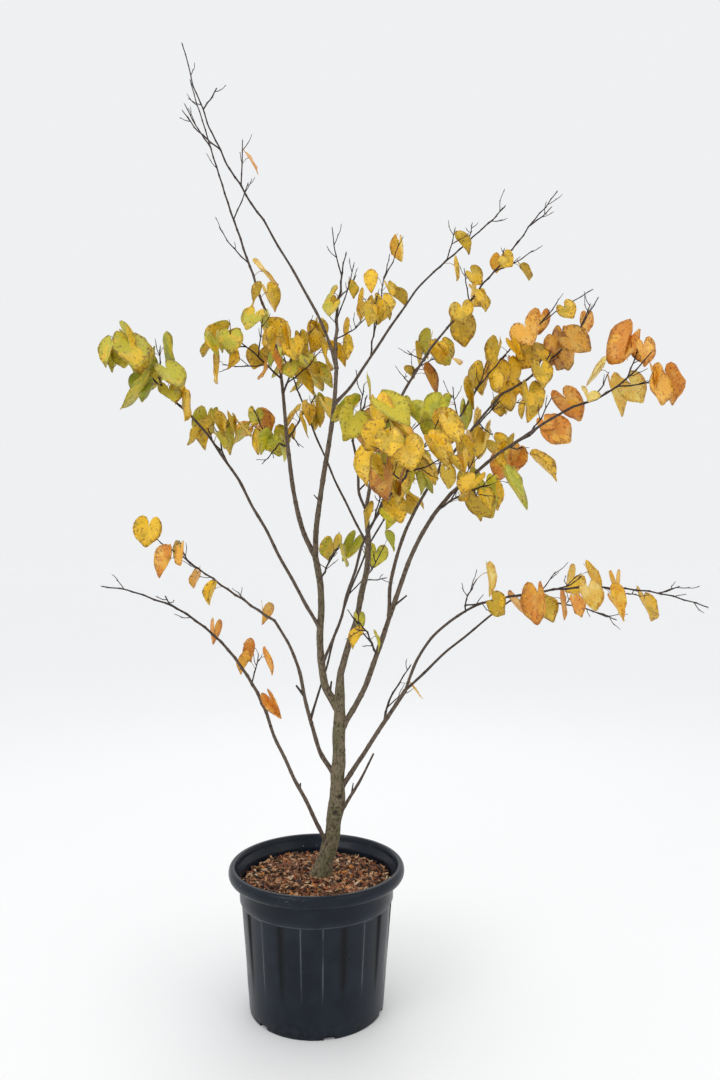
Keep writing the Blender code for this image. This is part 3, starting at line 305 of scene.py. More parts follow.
SPRAYS = (
    Spray("low_left_spray", "low_left_bough", 1.0, (-0.50, -0.30, 1.165), (0.04, 0, 0.065),
        5, 0.078, (0.0, 0.42), 2, 0.07, 395, (T.AMBER, T.AMBER, T.GOLD)),
    Spray("second_left_spray", "second_left_bough", 1.0, (-0.515, 0.25, 1.29), (0, 0, -0.005),
        7, 0.085, (0.0, 1.0), 2, 0.11, 182, (T.AMBER, T.GOLD, T.AMBER, T.GOLD)),
    Spray("left_high_spray", "left_high_bough", 1.0, (-0.45, -0.27, 1.735), (-0.005, 0, 0),
        9, 0.098, (0.1, 1.0), 3, 0.12, 111, (T.GOLD, T.OLIVE, T.GREEN, T.OLIVE)),
    Spray("left_high_inner", "left_high_bough", 0.74, (-0.255, -0.05, 1.595), (-0.01, 0, 0),
        6, 0.085, (0.2, 1.0), 2, 0.10, 330, (T.OLIVE, T.GOLD, T.OLIVE)),
    Spray("leader_west", "left_leader", 0.73, (-0.25, 0.02, 1.85), (0, 0, 0.005),
        7, 0.090, (0.2, 1.0), 3, 0.12, 282, (T.AMBER, T.GOLD, T.GOLD, T.OLIVE)),
    Spray("leader_low_west", "left_leader", 0.46, (-0.21, 0.26, 1.62), (0, 0, -0.005),
        6, 0.085, (0.2, 1.0), 2, 0.12, 384, (T.LIME, T.GOLD, T.OLIVE, T.AMBER)),
    Spray("leader_east", "left_leader", 0.67, (-0.045, 0.03, 1.85), (0.005, 0, 0),
        8, 0.085, (0.2, 1.0), 3, 0.12, 149, (T.GOLD, T.OLIVE, T.GOLD)),
    Spray("leader_top", "left_leader", 1.0, (-0.385, 0.22, 2.635), (-0.005, 0, -0.005),
        3, 0.092, (0.0, 0.2), 3, 0.16, 93, (T.GOLD, T.OLIVE)),
    Spray("leader_back", "left_leader", 0.49, (-0.045, 0.33, 1.705), (0.005, 0, -0.005),
        5, 0.085, (0.2, 1.0), 2, 0.12, 352, (T.OLIVE, T.GOLD, T.OLIVE)),
    Spray("tall_top", "tall_upper", 1.0, (-0.375, 0.05, 2.65), (-0.025, 0, -0.015),
        1, 0.085, (0.1, 0.4), 3, 0.15, 45, (T.AMBER,)),
    Spray("crown_middle", "tall_leader", 1.0, (0.08, 0.06, 2.075), (-0.01, 0, 0),
        4, 0.075, (0.1, 0.6), 4, 0.15, 369, (T.GOLD, T.OLIVE)),
    Spray("crown_back", "back_leader", 0.36, (0.21, 0.32, 2.15), (-0.005, 0, -0.005),
        7, 0.078, (0.0, 1.0), 3, 0.13, 349, (T.OLIVE, T.GOLD, T.GOLD, T.BRIGHT)),
    Spray("back_leader_tip", "back_leader", 1.0, (0.56, 0.28, 2.285), (0, 0, -0.005),
        2, 0.080, (0.0, 1.0), 3, 0.10, 286, (T.GOLD, T.AMBER)),
    Spray("far_spray", "far_bough", 1.0, (0.715, 0.27, 2.325), (0, 0, -0.005),
        5, 0.085, (0.05, 0.6), 4, 0.12, 379, (T.GOLD, T.BRIGHT)),
    Spray("far_inner", "far_bough", 0.62, (0.37, 0.38, 1.885), (-0.01, 0, 0.005),
        5, 0.085, (0.2, 1.0), 3, 0.12, 217, (T.RUST, T.GOLD, T.OLIVE)),
    Spray("rising_tip", "rising_bough", 1.0, (0.80, 0.12, 1.965), (0.025, 0, -0.02),
        8, 0.090, (0.0, 0.8), 4, 0.11, 23, (T.GOLD, T.GOLD, T.RUST, T.AMBER)),
    Spray("rising_inner", "rising_bough", 0.59, (0.805, 0.20, 2.01), (-0.065, 0, 0.035),
        9, 0.088, (0.3, 0.9), 4, 0.12, 23, (T.GOLD, T.LIME, T.GOLD, T.AMBER, T.GOLD)),
    Spray("rising_back", "rising_bough", 0.81, (0.575, 0.25, 1.735), (0, 0, -0.005),
        6, 0.085, (0.2, 1.0), 3, 0.12, 388, (T.OLIVE, T.GOLD)),
    Spray("right_tip", "right_bough", 1.0, (0.815, -0.30, 1.725), (0.015, 0, -0.015),
        6, 0.095, (0.0, 0.8), 3, 0.11, 359, (T.LIME, T.PALE, T.AMBER)),
    Spray("right_inner", "right_bough", 0.45, (0.60, -0.12, 1.585), (0.005, 0, -0.005),
        5, 0.090, (0.2, 1.0), 2, 0.12, 364, (T.GOLD, T.AMBER)),
    Spray("right_low", "right_stem", 0.92, (0.435, -0.28, 1.41), (0, 0, 0.01),
        6, 0.098, (0.2, 1.0), 2, 0.12, 82, (T.OLIVE, T.GOLD, T.LIME)),
    Spray("front_spray", "front_bough", 1.0, (0.235, -0.42, 1.47), (0.005, 0, 0),
        7, 0.092, (0.1, 1.0), 3, 0.12, 50, (T.GOLD, T.RUST, T.GOLD)),
    Spray("front_low", "front_bough", 0.72, (0.185, -0.40, 1.425), (0.005, 0, 0),
        4, 0.080, (0.3, 1.0), 2, 0.10, 117, (T.LIME, T.GOLD)),
    Spray("centre_front", "centre_bough", 1.0, (0.135, -0.34, 1.615), (0, 0, 0.005),
        5, 0.105, (0.1, 1.0), 2, 0.12, 263, (T.RUST, T.GREEN, T.BRIGHT)),
    Spray("centre_side", "centre_bough", 0.29, (0.235, -0.10, 1.615), (0.02, 0, -0.01),
        5, 0.095, (0.3, 1.0), 2, 0.12, 298, (T.GREEN, T.GREEN, T.LIME)),
    Spray("centre_right", "centre_stem", 0.88, (0.315, -0.22, 1.575), (0.01, 0, 0.005),
        6, 0.095, (0.4, 1.0), 3, 0.12, 180, (T.GREEN, T.LIME, T.GOLD)),
    Spray("back_spray", "back_shoot", 1.0, (-0.105, 0.40, 1.855), (-0.005, 0, 0),
        5, 0.085, (0.1, 1.0), 3, 0.12, 141, (T.OLIVE, T.GREEN)),
    Spray("inner_spray", "inner_shoot", 1.0, (0.295, 0.42, 1.525), (0, 0, -0.005),
        6, 0.090, (0.1, 1.0), 3, 0.12, 170, (T.GOLD, T.OLIVE)),
    Spray("inner_low", "inner_shoot", 0.61, (0.195, 0.30, 1.255), (0.01, 0, -0.005),
        3, 0.085, (0.3, 1.0), 2, 0.10, 324, (T.GREEN, T.LIME)),
    Spray("olive_low", "left_stem", 0.85, (0.055, -0.15, 1.25), (0, 0, 0),
        2, 0.095, (0.3, 1.0), 1, 0.08, 203, (T.OLIVE,)),
    Spray("fork_twigs", "right_stem", 0.33, (0.115, -0.15, 1.065), (0.005, 0, 0),
        3, 0.062, (0.1, 1.0), 3, 0.09, 170, (T.LIME, T.GOLD)),
    Spray("low_right_tip", "low_right_upper", 1.0, (0.975, -0.24, 1.11), (0.015, 0, 0.035),
        8, 0.092, (0.0, 0.7), 3, 0.11, 177, (T.AMBER, T.PALE, T.BRIGHT, T.GOLD, T.PALE)),
    Spray("low_right_mid", "low_right_upper", 0.70, (0.40, -0.28, 1.18), (-0.005, 0, 0.005),
        2, 0.075, (0.3, 1.0), 1, 0.08, 364, (T.GOLD, T.PALE)),
    Spray("low_right_back", "low_right_lower", 1.0, (0.89, 0.24, 1.03), (-0.005, 0, 0.02),
        4, 0.088, (0.1, 0.9), 3, 0.10, 75, (T.GOLD, T.AMBER, T.PALE)),
    Spray("low_right_shoot", "low_right_bough", 0.69, (0.26, 0.04, 0.925), (-0.01, 0, 0.005),
        1, 0.070, (0.5, 1.0), 1, 0.06, 182, (T.BRIGHT,)),
)

STUBS = (
    Stub("second_left_bough", 0.52, (-0.8, -0.1, 1.1), 0.030, 3.6 * MM, 2.9 * MM),
    Stub("left_stem", 0.12, (0.15, -0.3, 1.0), 0.030, 3.4 * MM, 2.4 * MM),
    Stub("right_stem", 0.52, (0.9, -0.2, 0.75), 0.040, 3.2 * MM, 2.2 * MM),
    Stub("dead_spur", 0.46, (0.15, 0.0, 1.0), 0.026, 2.4 * MM, 1.6 * MM),
    Stub("low_left_bough", 0.42, (0.1, -0.2, 1.0), 0.012, 2.6 * MM, 1.9 * MM),
    Stub("low_right_bough", 0.78, (0.1, -0.6, 0.6), 0.014, 2.6 * MM, 1.8 * MM),
    Stub("tall_leader", 0.30, (-0.7, -0.2, 0.8), 0.018, 2.4 * MM, 1.5 * MM),
)

KNOTS = (
    Knot(0.527, 2, 0.019, 0.0050),
    Knot(0.572, 20, 0.018, 0.0055),
    Knot(0.545, 75, 0.020, 0.0045),
    Knot(0.655, 70, 0.009, 0.0020),
    Knot(0.735, 35, 0.008, 0.0018),
    Knot(0.500, -120, 0.010, 0.0022),
    Knot(0.640, 175, 0.011, 0.0026),
)


def unit(vector: Array) -> Array:
    """The vector at length one."""
    return vector / math.sqrt(float(vector @ vector))


def unit_rows(vectors: Array) -> Array:
    """Each row of an array at length one."""
    return vectors / np.linalg.norm(vectors, axis=-1, keepdims=True)


def square_to(axis: Array, turn: float) -> Array:
    """A unit vector square to an axis.

    Args:
        axis: The axis.
        turn: Turn about it, in radians, from the level direction.

    Returns:
        cos(turn) of the level direction, and sin(turn) of the one square to both.
    """
    level = np.cross(UP, axis)
    if float(level @ level) < NEARLY_UPRIGHT:
        level = np.cross(RIGHT, axis)
    level = unit(level)
    return level * math.cos(turn) + np.cross(unit(axis), level) * math.sin(turn)


def bowed_line(start: Array, tip: Point, bow: Point, sway: Point, count: int) -> Array:
    """Points along a line that bows to one side and sways to both.

    Args:
        start: First point.
        tip: Last point.
        bow: Offset of the middle.
        sway: Offset to one side in the first half, and to the other in the second.
        count: Number of points.

    Returns:
        The straight line, plus 4t(1-t) of the bow, plus 10.39t(1-t)(1-2t) of the sway.
    """
    t = np.linspace(0.0, 1.0, count)[:, None]
    bowed = 4 * t * (1 - t) * np.array(bow)
    swayed = SWAY_PEAK * t * (1 - t) * (1 - 2 * t) * np.array(sway)
    return start + (np.array(tip) - start) * t + bowed + swayed


def kink(points: Array, size: float, rng: Random) -> Array:
    """Shifts the inner points to one side and the other, as buds turn a growing shoot.

    Args:
        points: The line.
        size: How far each point moves, about.
        rng: Where the draws come from.

    Returns:
        The kinked line.
    """
    turn = rng.uniform(0.0, math.pi)
    shifted = points.copy()
    for place in range(1, len(points) - 1):
        side = square_to(points[place + 1] - points[place - 1], turn + Span.KINK_TURN.draw(rng))
        shifted[place] += side * size * (-1) ** place * Span.KINK_SIZE.draw(rng)
    return shifted


def point_at(points: Array, share: float) -> tuple[Array, Array]:
    """The point at a share of the way along a line, and the direction there.

    Args:
        points: The line.
        share: From 0 at its start to 1 at its tip.

    Returns:
        The point and the unit direction.
    """
    place = share * (len(points) - 1)
    low = min(int(place), len(points) - 2)
    step = points[low + 1] - points[low]
    return points[low] + step * (place - low), unit(step)


def probes_along(points: Array, first: float, count: int) -> Array:
    """Evenly spread points from a share of the way along to the tip."""
    return np.vstack([point_at(points, share)[0] for share in np.linspace(first, 1.0, count)])


def span(points: Array) -> float:
    """Length of a line."""
    return float(np.linalg.norm(np.diff(points, axis=0), axis=1).sum())


def taper(root: float, tip: float, count: int, power: float = 1.0) -> Array:
    """Radii along a limb: the tip's, plus the difference times (1 - t) to a power."""
    return tip + (root - tip) * (1 - np.linspace(0.0, 1.0, count)) ** power


def radius_at(radii: Array, share: float) -> float:
    """Radius at a share of the way along a limb."""
    return float(np.interp(share, np.linspace(0, 1, len(radii)), radii))


def limb_radii(limb: Limb, count: int, power: float = 1.0) -> Array:
    """A limb's radii in metres, from its two diameters."""
    return taper(limb.root_diameter / 2 * MM, limb.tip_diameter / 2 * MM, count, power)


def clearance(points: Array, segments: tuple[Array, Array, Array]) -> float:
    """The least distance from points to the surface of straight pieces.

    Args:
        points: The points.
        segments: Start, direction at full length, and radius of each piece.

    Returns:
        The distance, below zero inside a piece.
    """
    start, along, radius = segments
    reach = points[:, None, :] - start[None]
    share = np.clip((reach * along).sum(-1) / (along**2).sum(-1), 0.0, 1.0)
    apart = np.linalg.norm(reach - share[..., None] * along, axis=-1) - radius
    return float(apart.min())


def least_apart(points: Array, others: Array) -> float:
    """The least distance between two sets of points."""
    return float(np.linalg.norm(points[:, None] - others[None], axis=-1).min())


class Skeleton:
    """The lines and radii of the trunk, the boughs and the stems of the sprays."""

    def __init__(self) -> None:
        """Draws every line in the order of growth."""
        self.lines: dict[str, Array] = {}
        self.radii: dict[str, Array] = {}
        self.add_trunk()
        for limb in LIMBS:
            self.add_limb(limb)
        for spray in SPRAYS:
            self.add_stem(spray)
        self.segments = self.list_segments()

    def add_trunk(self) -> None:
        """The trunk starts a little under the flat cut at its foot."""
        line = bowed_line(np.array(TRUNK_FOOT), TRUNK.tip, TRUNK.bow, TRUNK.sway, TRUNK_POINTS)
        line = kink(line, KINK, Random(TRUNK.name))
        lean = unit(line[1] - line[0])
        radii = limb_radii(TRUNK, TRUNK_POINTS, TRUNK_TAPER)
        near = [line[0] - lean * TRUNK_SUNK, line[0], line[0] + lean * FLARE_HEIGHT]
        flared = radii[0] + FLARE * np.exp(-np.array([0.0, 0.0, FLARE_HEIGHT]) / FLARE_HEIGHT)
        self.lines[TRUNK.name] = np.vstack([near, line[1:]])
        self.radii[TRUNK.name] = np.concatenate([flared, radii[1:]])

    def add_limb(self, limb: Limb) -> None:
        """A bough starts on its parent's centre line."""
        start, _ = point_at(self.lines[limb.parent], limb.at)
        length = float(np.linalg.norm(np.array(limb.tip) - start))
        count = max(4, round(length / LIMB_STEP) + 1)
        line = bowed_line(start, limb.tip, limb.bow, limb.sway, count)
        self.lines[limb.name] = kink(line, KINK, Random(limb.name))
        self.radii[limb.name] = limb_radii(limb, count)

    def add_stem(self, spray: Spray) -> None:
        """A spray's stem is as thick as its bough's tip, or thinner than the bough it leaves."""
        start, _ = point_at(self.lines[spray.carrier], spray.at)
        length = float(np.linalg.norm(np.array(spray.tip) - start))
        count = max(4, round(length / TWIG_STEP) + 1)
        line = bowed_line(start, spray.tip, spray.bow, STRAIGHT, count)
        there = radius_at(self.radii[spray.carrier], spray.at)
        root = there if spray.at == 1.0 else min(STEM_SHARE * there, STEM_MOST)
        self.lines[spray.name] = kink(line, TWIG_KINK, Random(spray.name))
        self.radii[spray.name] = taper(root, TWIG_TIP, count)

    def list_segments(self) -> tuple[Array, Array, Array]:
        """Both ends and the radius of every straight piece of every line."""
        return (
            np.vstack([line[:-1] for line in self.lines.values()]),
            np.vstack([line[1:] for line in self.lines.values()]),
            np.concatenate([radii[:-1] for radii in self.radii.values()]),
        )

    def segments_near(self, line: Array, reach: float) -> tuple[Array, Array, Array]:
        """The straight pieces that come within reach of a line."""
        ends, tips, radii = self.segments
        middles = (ends + tips) / 2
        apart = np.linalg.norm(middles[:, None] - line[None], axis=-1).min(axis=1)
        kept = apart < reach + np.linalg.norm(tips - ends, axis=1)
        return ends[kept], (tips - ends)[kept], radii[kept]


@dataclass(frozen=True)
class Heart:
    """A heart-shaped leaf's edge: a round body, drawn out and made oval, with a tip and a notch."""

    body: float
    drawn: float
    oval: float
    tip: float
    tip_width: float
    notch: float
    notch_width: float

    def edge(self, turn: float | Array) -> float | Array:
        """Reach of the edge from the stalk's end, as a share of the leaf's length.

        Args:
            turn: Turn from the midrib, in radians.

        Returns:
            Body + drawn times the cosine + oval times the cosine of the double turn, plus the tip
            times exp(-(turn / its width)^2), less the notch in the same way from the back.
        """
        rounded = self.body + self.drawn * np.cos(turn) + self.oval * np.cos(2 * turn)
        pointed = self.tip * np.exp(-((turn / self.tip_width) ** 2))
        notched = self.notch * np.exp(-(((math.pi - np.abs(turn)) / self.notch_width) ** 2))
        return np.maximum(0.0, rounded + pointed - notched)


PLAIN_HEART = Heart(0.57, 0.19, 0.06, 0.18, 0.22, 0.5, 0.6)
BLADE_HEART = Heart(0.60, 0.12, 0.02, 0.14, 0.22, 0.42, 0.34)


@dataclass(frozen=True)
class Leaf:
    """A leaf: its stalk's line, its own axes, its length, and how it is folded and curled."""

    stalk: Array
    base: Array
    along: Array
    across: Array
    face: Array
    length: float
    fold: float
    curl: float
    share: float

    def at(self, x: float, y: float) -> Array:
        """World place of a point given as shares of the length, along and across."""
        lift = abs(y) * math.sin(self.fold) - self.curl * x * abs(x)
        place = x * self.along + y * math.cos(self.fold) * self.across + lift * self.face
        return self.base + self.length * place

    def samples(self) -> Array:
        """Points spread over the leaf, by which it is kept clear of other things."""
        points = [self.at(0.0, 0.0)]
        for spoke in range(-SAMPLE_SPOKES, SAMPLE_SPOKES + 1):
            turn = spoke * SAMPLE_TURN
            reach = float(PLAIN_HEART.edge(turn))
            rings = max(2, round(reach / SAMPLE_PITCH))
            for ring in range(1, rings + 1):
                far = reach * ring / rings
                points.append(self.at(far * math.cos(turn), far * math.sin(turn)))
        return np.array(points)


def new_leaf(rng: Random, node: Array, forward: Array, turn: float,
             length: float, share: float) -> Leaf:
    """A leaf that hangs from its node on a stalk of its own.

    Args:
        rng: Where the draws come from.
        node: Where the stalk leaves the twig.
        forward: The twig's direction there.
        turn: Turn about the twig.
        length: The leaf's length.
        share: How far along the spray's stem it grows.

    Returns:
        The leaf.
    """
    out = square_to(forward, turn + Span.STALK_TURN.draw(rng))
    ahead = Span.STALK_FORWARD.draw(rng) * forward
    heading = unit(out + ahead + Span.STALK_RISE.draw(rng) * UP)
    stalk_length = length * Span.STALK_SHARE.draw(rng)
    level = unit(heading * np.array([1.0, 1.0, 0.0]) + LEVEL_NUDGE * RIGHT)
    along = unit(Span.LEVEL_HANG.draw(rng) * level - Span.DOWN_HANG.draw(rng) * UP)
    base = node + stalk_length * (STALK_REACH * heading - STALK_DROP * UP)
    middle = node + stalk_length * STALK_MIDDLE * heading
    spin = Span.SPIN.draw(rng)
    front = unit(level - float(level @ along) * along)
    face = unit(front * math.cos(spin) + np.cross(along, front) * math.sin(spin))
    across = np.cross(face, along)
    folded = rng.random() < SHARE_FOLDED
    fold = Span.FOLDED.draw(rng) if folded else Span.OPENED.draw(rng)
    curl = Span.CURL.draw(rng)
    stalk = np.array([node, middle, base])
    return Leaf(stalk, base, along, across, face, length, fold, curl, share)


class Growth:
    """What grows on one spray: its side shoots and its leaves, by the solids' own rule."""

    def __init__(self, spray: Spray, skeleton: Skeleton, taken: list[Array]) -> None:
        """Grows the shoots, then the leaves.

        Args:
            spray: The spray.
            skeleton: Lines of all the limbs.
            taken: Points that the sprays before it hold.
        """
        self.spray = spray
        self.stem = skeleton.lines[spray.name]
        self.stem_radii = skeleton.radii[spray.name]
        self.reach = LEAF_SPREAD + spray.shoot_length
        self.top = max(line[-1][2] for line in skeleton.lines.values())
        self.limbs = skeleton.segments_near(self.stem, self.reach)
        near = [held for held in taken if least_apart(held[:1], self.stem) < 2 * self.reach]
        self.others = np.vstack(near) if near else NOWHERE
        self.rng = Random(spray.seed)
        self.shoots: list[Array] = []
        self.leaves: list[Leaf] = []
        self.own: list[Array] = []
        self.grow_shoots()
        self.grow_leaves()

    def in_space(self, points: Array) -> bool:
        """Whether points lie within the spray's reach of its stem, and below the tallest tip."""
        far = np.linalg.norm(points[:, None] - self.stem[None], axis=-1).min(axis=1)
        return bool((far < self.reach).all()) and bool((points[:, 2] < self.top).all())

    def grow_shoots(self) -> None:
        """Side shoots leave the stem on one side and the other."""
        spray = self.spray
        first = self.rng.uniform(0.0, 2 * math.pi)
        for number in range(spray.shoots):
            place = number + Span.SHOOT_SHIFT.draw(self.rng)
            share = SHOOT_FIRST + SHOOT_RANGE * place / spray.shoots
            for _ in range(SHOOT_TRIES):
                node, heading = point_at(self.stem, share)
                turn = first + math.pi * number + Span.SHOOT_TURN.draw(self.rng)
                slope = Span.SHOOT_SLOPE.draw(self.rng)
                side = square_to(heading, turn)
                leaving = unit(heading * math.cos(slope) + side * math.sin(slope) + SHOOT_LIFT * UP)
                longest = spray.shoot_length * (SHOOT_LONGEST - SHOOT_SHORTENING * share)
                length = longest * Span.SHOOT_SIZE.draw(self.rng)
                count = max(3, round(length / TWIG_STEP) + 1)
                bow = SHOOT_BOW * length * unit(leaving - SHOOT_SAG * UP)
                line = bowed_line(node, node + leaving * length, bow, STRAIGHT, count)
                line = kink(line, TWIG_KINK, self.rng)
                if self.shoot_fits(line):
                    self.shoots.append(line)
                    break

    def shoot_fits(self, line: Array) -> bool:
        """Whether a shoot, past its root, is clear of the limbs and of other sprays."""
        probes = probes_along(line, FIT_SKIPPED, FIT_PROBES)
        if clearance(probes, self.limbs) < TWIG_CLEAR:
            return False
        return self.in_space(probes) and least_apart(probes, self.others) > OTHER_SPRAY_CLEAR

    def nodes(self) -> list[tuple[Array, float, int]]:
        """Places where leaves may sit: line, share of the way along, and rank."""
        low, high = self.spray.leafy
        low = max(low, BARE_ROOT / span(self.stem))
        count = max(3, round((high - low) * span(self.stem) / NODE_PITCH))
        shares = [low + (high - low) * rank / count for rank in range(count + 1)]
        found = [(self.stem, share, rank) for rank, share in enumerate(shares)]
        for shoot in self.shoots:
            start, _ = point_at(shoot, 0.0)
            if self.share_along(start) <= high + NODE_SLACK:
                found += [(shoot, share, rank) for rank, share in enumerate(SHOOT_NODES)]
        return found

    def share_along(self, point: Array) -> float:
        """How far along the stem a point on it lies."""
        nearest = np.linalg.norm(self.stem - point, axis=1).argmin()
        return float(nearest) / (len(self.stem) - 1)

    def grow_leaves(self) -> None:
        """Leaves sit at seeded nodes, and one that doesn't fit after some tries is skipped."""
        nodes = self.nodes()
        self.rng.shuffle(nodes)
        for line, share, rank in nodes:
            if len(self.leaves) >= self.spray.leaves:
                return
            node, heading = point_at(line, min(share, LAST_NODE))
            length = self.spray.leaf_length * Span.LEAF_SIZE.draw(self.rng)
            for _ in range(LEAF_TRIES):
                turn = math.pi * rank + Span.NODE_TURN.draw(self.rng)
                leaf = new_leaf(self.rng, node, heading, turn, length, self.share_along(node))
                samples = leaf.samples()
                if self.leaf_fits(leaf, samples):
                    self.leaves.append(leaf)
                    self.own.append(samples)
                    break

    def leaf_fits(self, leaf: Leaf, samples: Array) -> bool:
        """Whether a leaf and its stalk are clear of the limbs and of every other leaf."""
        stalk = np.array([leaf.stalk[1], (leaf.stalk[1] + leaf.base) / 2, leaf.base])
        if clearance(samples, self.limbs) < LIMB_CLEAR or clearance(stalk, self.limbs) < TWIG_CLEAR:
            return False
        if any(least_apart(samples, held) < OWN_LEAF_CLEAR for held in self.own):
            return False
        if any(least_apart(samples, probes) < LIMB_CLEAR for probes in self.shoot_probes()):
            return False
        points = np.vstack([samples, stalk])
        return self.in_space(points) and least_apart(points, self.others) > OTHER_SPRAY_CLEAR

    def shoot_probes(self) -> list[Array]:
        """Points along each shoot, by which leaves keep clear of it."""
        return [probes_along(shoot, 0.0, SHOOT_PROBES) for shoot in self.shoots]

    def add_small_leaves(self, others: Array) -> None:
        """Smaller leaves that the solids leave out, from a seed of their own.

        Args:
            others: Points that the other sprays hold nearby.
        """
        rng = Random(self.spray.name + "_small")
        nodes = 2 * self.nodes()
        rng.shuffle(nodes)
        wanted = len(self.leaves) + round(SMALL_LEAF_SHARE * len(self.leaves))
        for line, share, rank in nodes:
            if len(self.leaves) >= wanted:
                return
            place = max(share + Span.NODE_SHIFT.draw(rng), 0.0)
            node, heading = point_at(line, min(place, LAST_NODE))
            length = self.spray.leaf_length * Span.SMALL_LEAF_SIZE.draw(rng)
            for _ in range(LEAF_TRIES):
                turn = math.pi * rank + Span.NODE_TURN.draw(rng)
                leaf = new_leaf(rng, node, heading, turn, length, self.share_along(node))
                samples = leaf.samples()
                if self.small_leaf_fits(samples, others):
                    self.leaves.append(leaf)
                    self.own.append(samples)
                    break

    def small_leaf_fits(self, samples: Array, others: Array) -> bool:
        """Whether a small leaf is clear of the rest, which it may hang nearer to than others do."""
        held = np.vstack([*self.own, *self.shoot_probes(), others])
        apart = min(clearance(samples, self.limbs), least_apart(samples, held))
        return apart > SMALL_LEAF_CLEAR and self.in_space(samples)

    def held_points(self) -> list[Array]:
        """Groups of points that later sprays keep clear of."""
        shoots = [probes_along(shoot, SHOOT_SKIPPED, SHOOT_PROBES) for shoot in self.shoots]
        stalks = [probes_along(leaf.stalk, STALK_SKIPPED, STALK_PROBES) for leaf in self.leaves]
        return self.own + shoots + stalks


def grow_sprays(skeleton: Skeleton) -> list[Growth]:
    """Every spray in turn, each keeping clear of those before it."""
    taken: list[Array] = []
    grown = []
    for spray in SPRAYS:
        growth = Growth(spray, skeleton, taken)
        taken += growth.held_points()
        grown.append(growth)
    return grown


def add_small_leaves(growths: list[Growth]) -> None:
    """Fills the crown's leafy sprays with smaller leaves, each clear of all the other sprays."""
    for growth in growths:
        if growth.spray.tip[2] < CROWN_FOOT or growth.spray.leaves < CROWN_LEAVES:
            continue
        others = [other for other in growths if other is not growth]
        held = np.vstack([points for other in others for points in other.held_points()])
        margin = growth.reach + OTHER_SPRAY_CLEAR
        low, high = growth.stem.min(axis=0) - margin, growth.stem.max(axis=0) + margin
        near = ((held > low) & (held < high)).all(axis=1)
        growth.add_small_leaves(held[near] if near.any() else NOWHERE)


class Noise:
    """Smooth seeded noise that repeats every 32 steps.

    A lattice of even random values, blended between its eight corners by 3s^2 - 2s^3.
    """

    STEPS = 32
    LAYERS = 2
    LAYER_SHIFT = 7.3

    def __init__(self, seed: int) -> None:
        """Fills the lattice from a seed."""
        self.lattice = np.random.default_rng(seed).uniform(-1.0, 1.0, (self.STEPS,) * 3)

    def at(self, places: Array) -> Array:
        """Value from -1 to 1 at each place of an array whose last axis is x, y, z."""
        low = np.floor(places).astype(int)
        part = places - low
        ease = part * part * (3 - 2 * part)
        total = np.zeros(places.shape[:-1])
        for corner in np.ndindex(2, 2, 2):
            cell = (low + np.array(corner)) % self.STEPS
            weight = np.where(np.array(corner) == 1, ease, 1 - ease).prod(axis=-1)
            total += weight * self.lattice[cell[..., 0], cell[..., 1], cell[..., 2]]
        return total

    def layered(self, places: Array) -> Array:
        """Sum of layers, each twice as fine and half as strong as the one before."""
        layers = range(self.LAYERS)
        return sum(self.at(places * 2**n + self.LAYER_SHIFT * n) * 0.5**n for n in layers)


def smooth_line(points: Array, radii: Array, pitch: float, ease: float = 0.5,
                fine: int = 12) -> tuple[Array, Array]:
    """A line rounded through its own points, in even steps.

    Args:
        points: The points it passes through.
        radii: Radius at each.
        pitch: Distance between the new points.
        ease: Slope at each point, as a share of the step from the one before to the one after.
        fine: Steps in which each stretch between two points is measured.

    Returns:
        New points and radii. Between two points it is the cubic with those slopes at its ends.
    """
    padded = np.vstack([2 * points[0] - points[1], points, 2 * points[-1] - points[-2]])
    place = np.linspace(0.0, len(points) - 1, fine * (len(points) - 1) + 1)
    low = np.minimum(place.astype(int), len(points) - 2)
    t = (place - low)[:, None]
    a, b, c, d = (padded[low + step] for step in range(4))
    leave, arrive = ease * (c - a), ease * (d - b)
    square, cube = 3 * (c - b) - 2 * leave - arrive, leave + arrive - 2 * (c - b)
    curve = b + leave * t + square * t**2 + cube * t**3
    walked = walked_along(curve)
    count = max(3, round(walked[-1] / pitch) + 1)
    stops = np.linspace(0.0, walked[-1], count)
    even = np.stack([np.interp(stops, walked, curve[:, axis]) for axis in range(3)], axis=1)
    places = np.interp(stops, walked, place)
    return even, np.interp(places, np.arange(len(points)), radii)


def walked_along(line: Array) -> Array:
    """Distance walked along a line up to each of its points."""
    return np.concatenate([[0.0], np.cumsum(np.linalg.norm(np.diff(line, axis=0), axis=1))])


def frames_along(line: Array) -> tuple[Array, Array]:
    """Two directions at each point of a line, square to it and to each other.

    Args:
        line: The points.

    Returns:
        Side and up rows. The side is one fixed direction, square to the whole line, less its part
        along the tangent.
    """
    tangent = unit_rows(np.gradient(line, axis=0))
    fixed = square_to(line[-1] - line[0], 0.0)
    side = unit_rows(fixed - (tangent @ fixed)[:, None] * tangent)
    return side, np.cross(tangent, side)


def tube_grid(line: Array, radii: Array) -> Array:
    """Rings of points round a line.

    Args:
        line: Centre of each ring.
        radii: Radius by ring and by place round it.

    Returns:
        Grid of rings by sides by 3: centre + radius (cos of the side + sin of the up).
    """
    side, rise = frames_along(line)
    turn = np.linspace(0.0, 2 * math.pi, radii.shape[1], endpoint=False)[None, :, None]
    outward = np.cos(turn) * side[:, None] + np.sin(turn) * rise[:, None]
    return line[:, None] + radii[..., None] * outward


def even_tube(line: Array, radii: Array, sides: int) -> Array:
    """Rings round a line that are as wide on every side."""
    return tube_grid(line, np.repeat(radii[:, None], sides, axis=1))


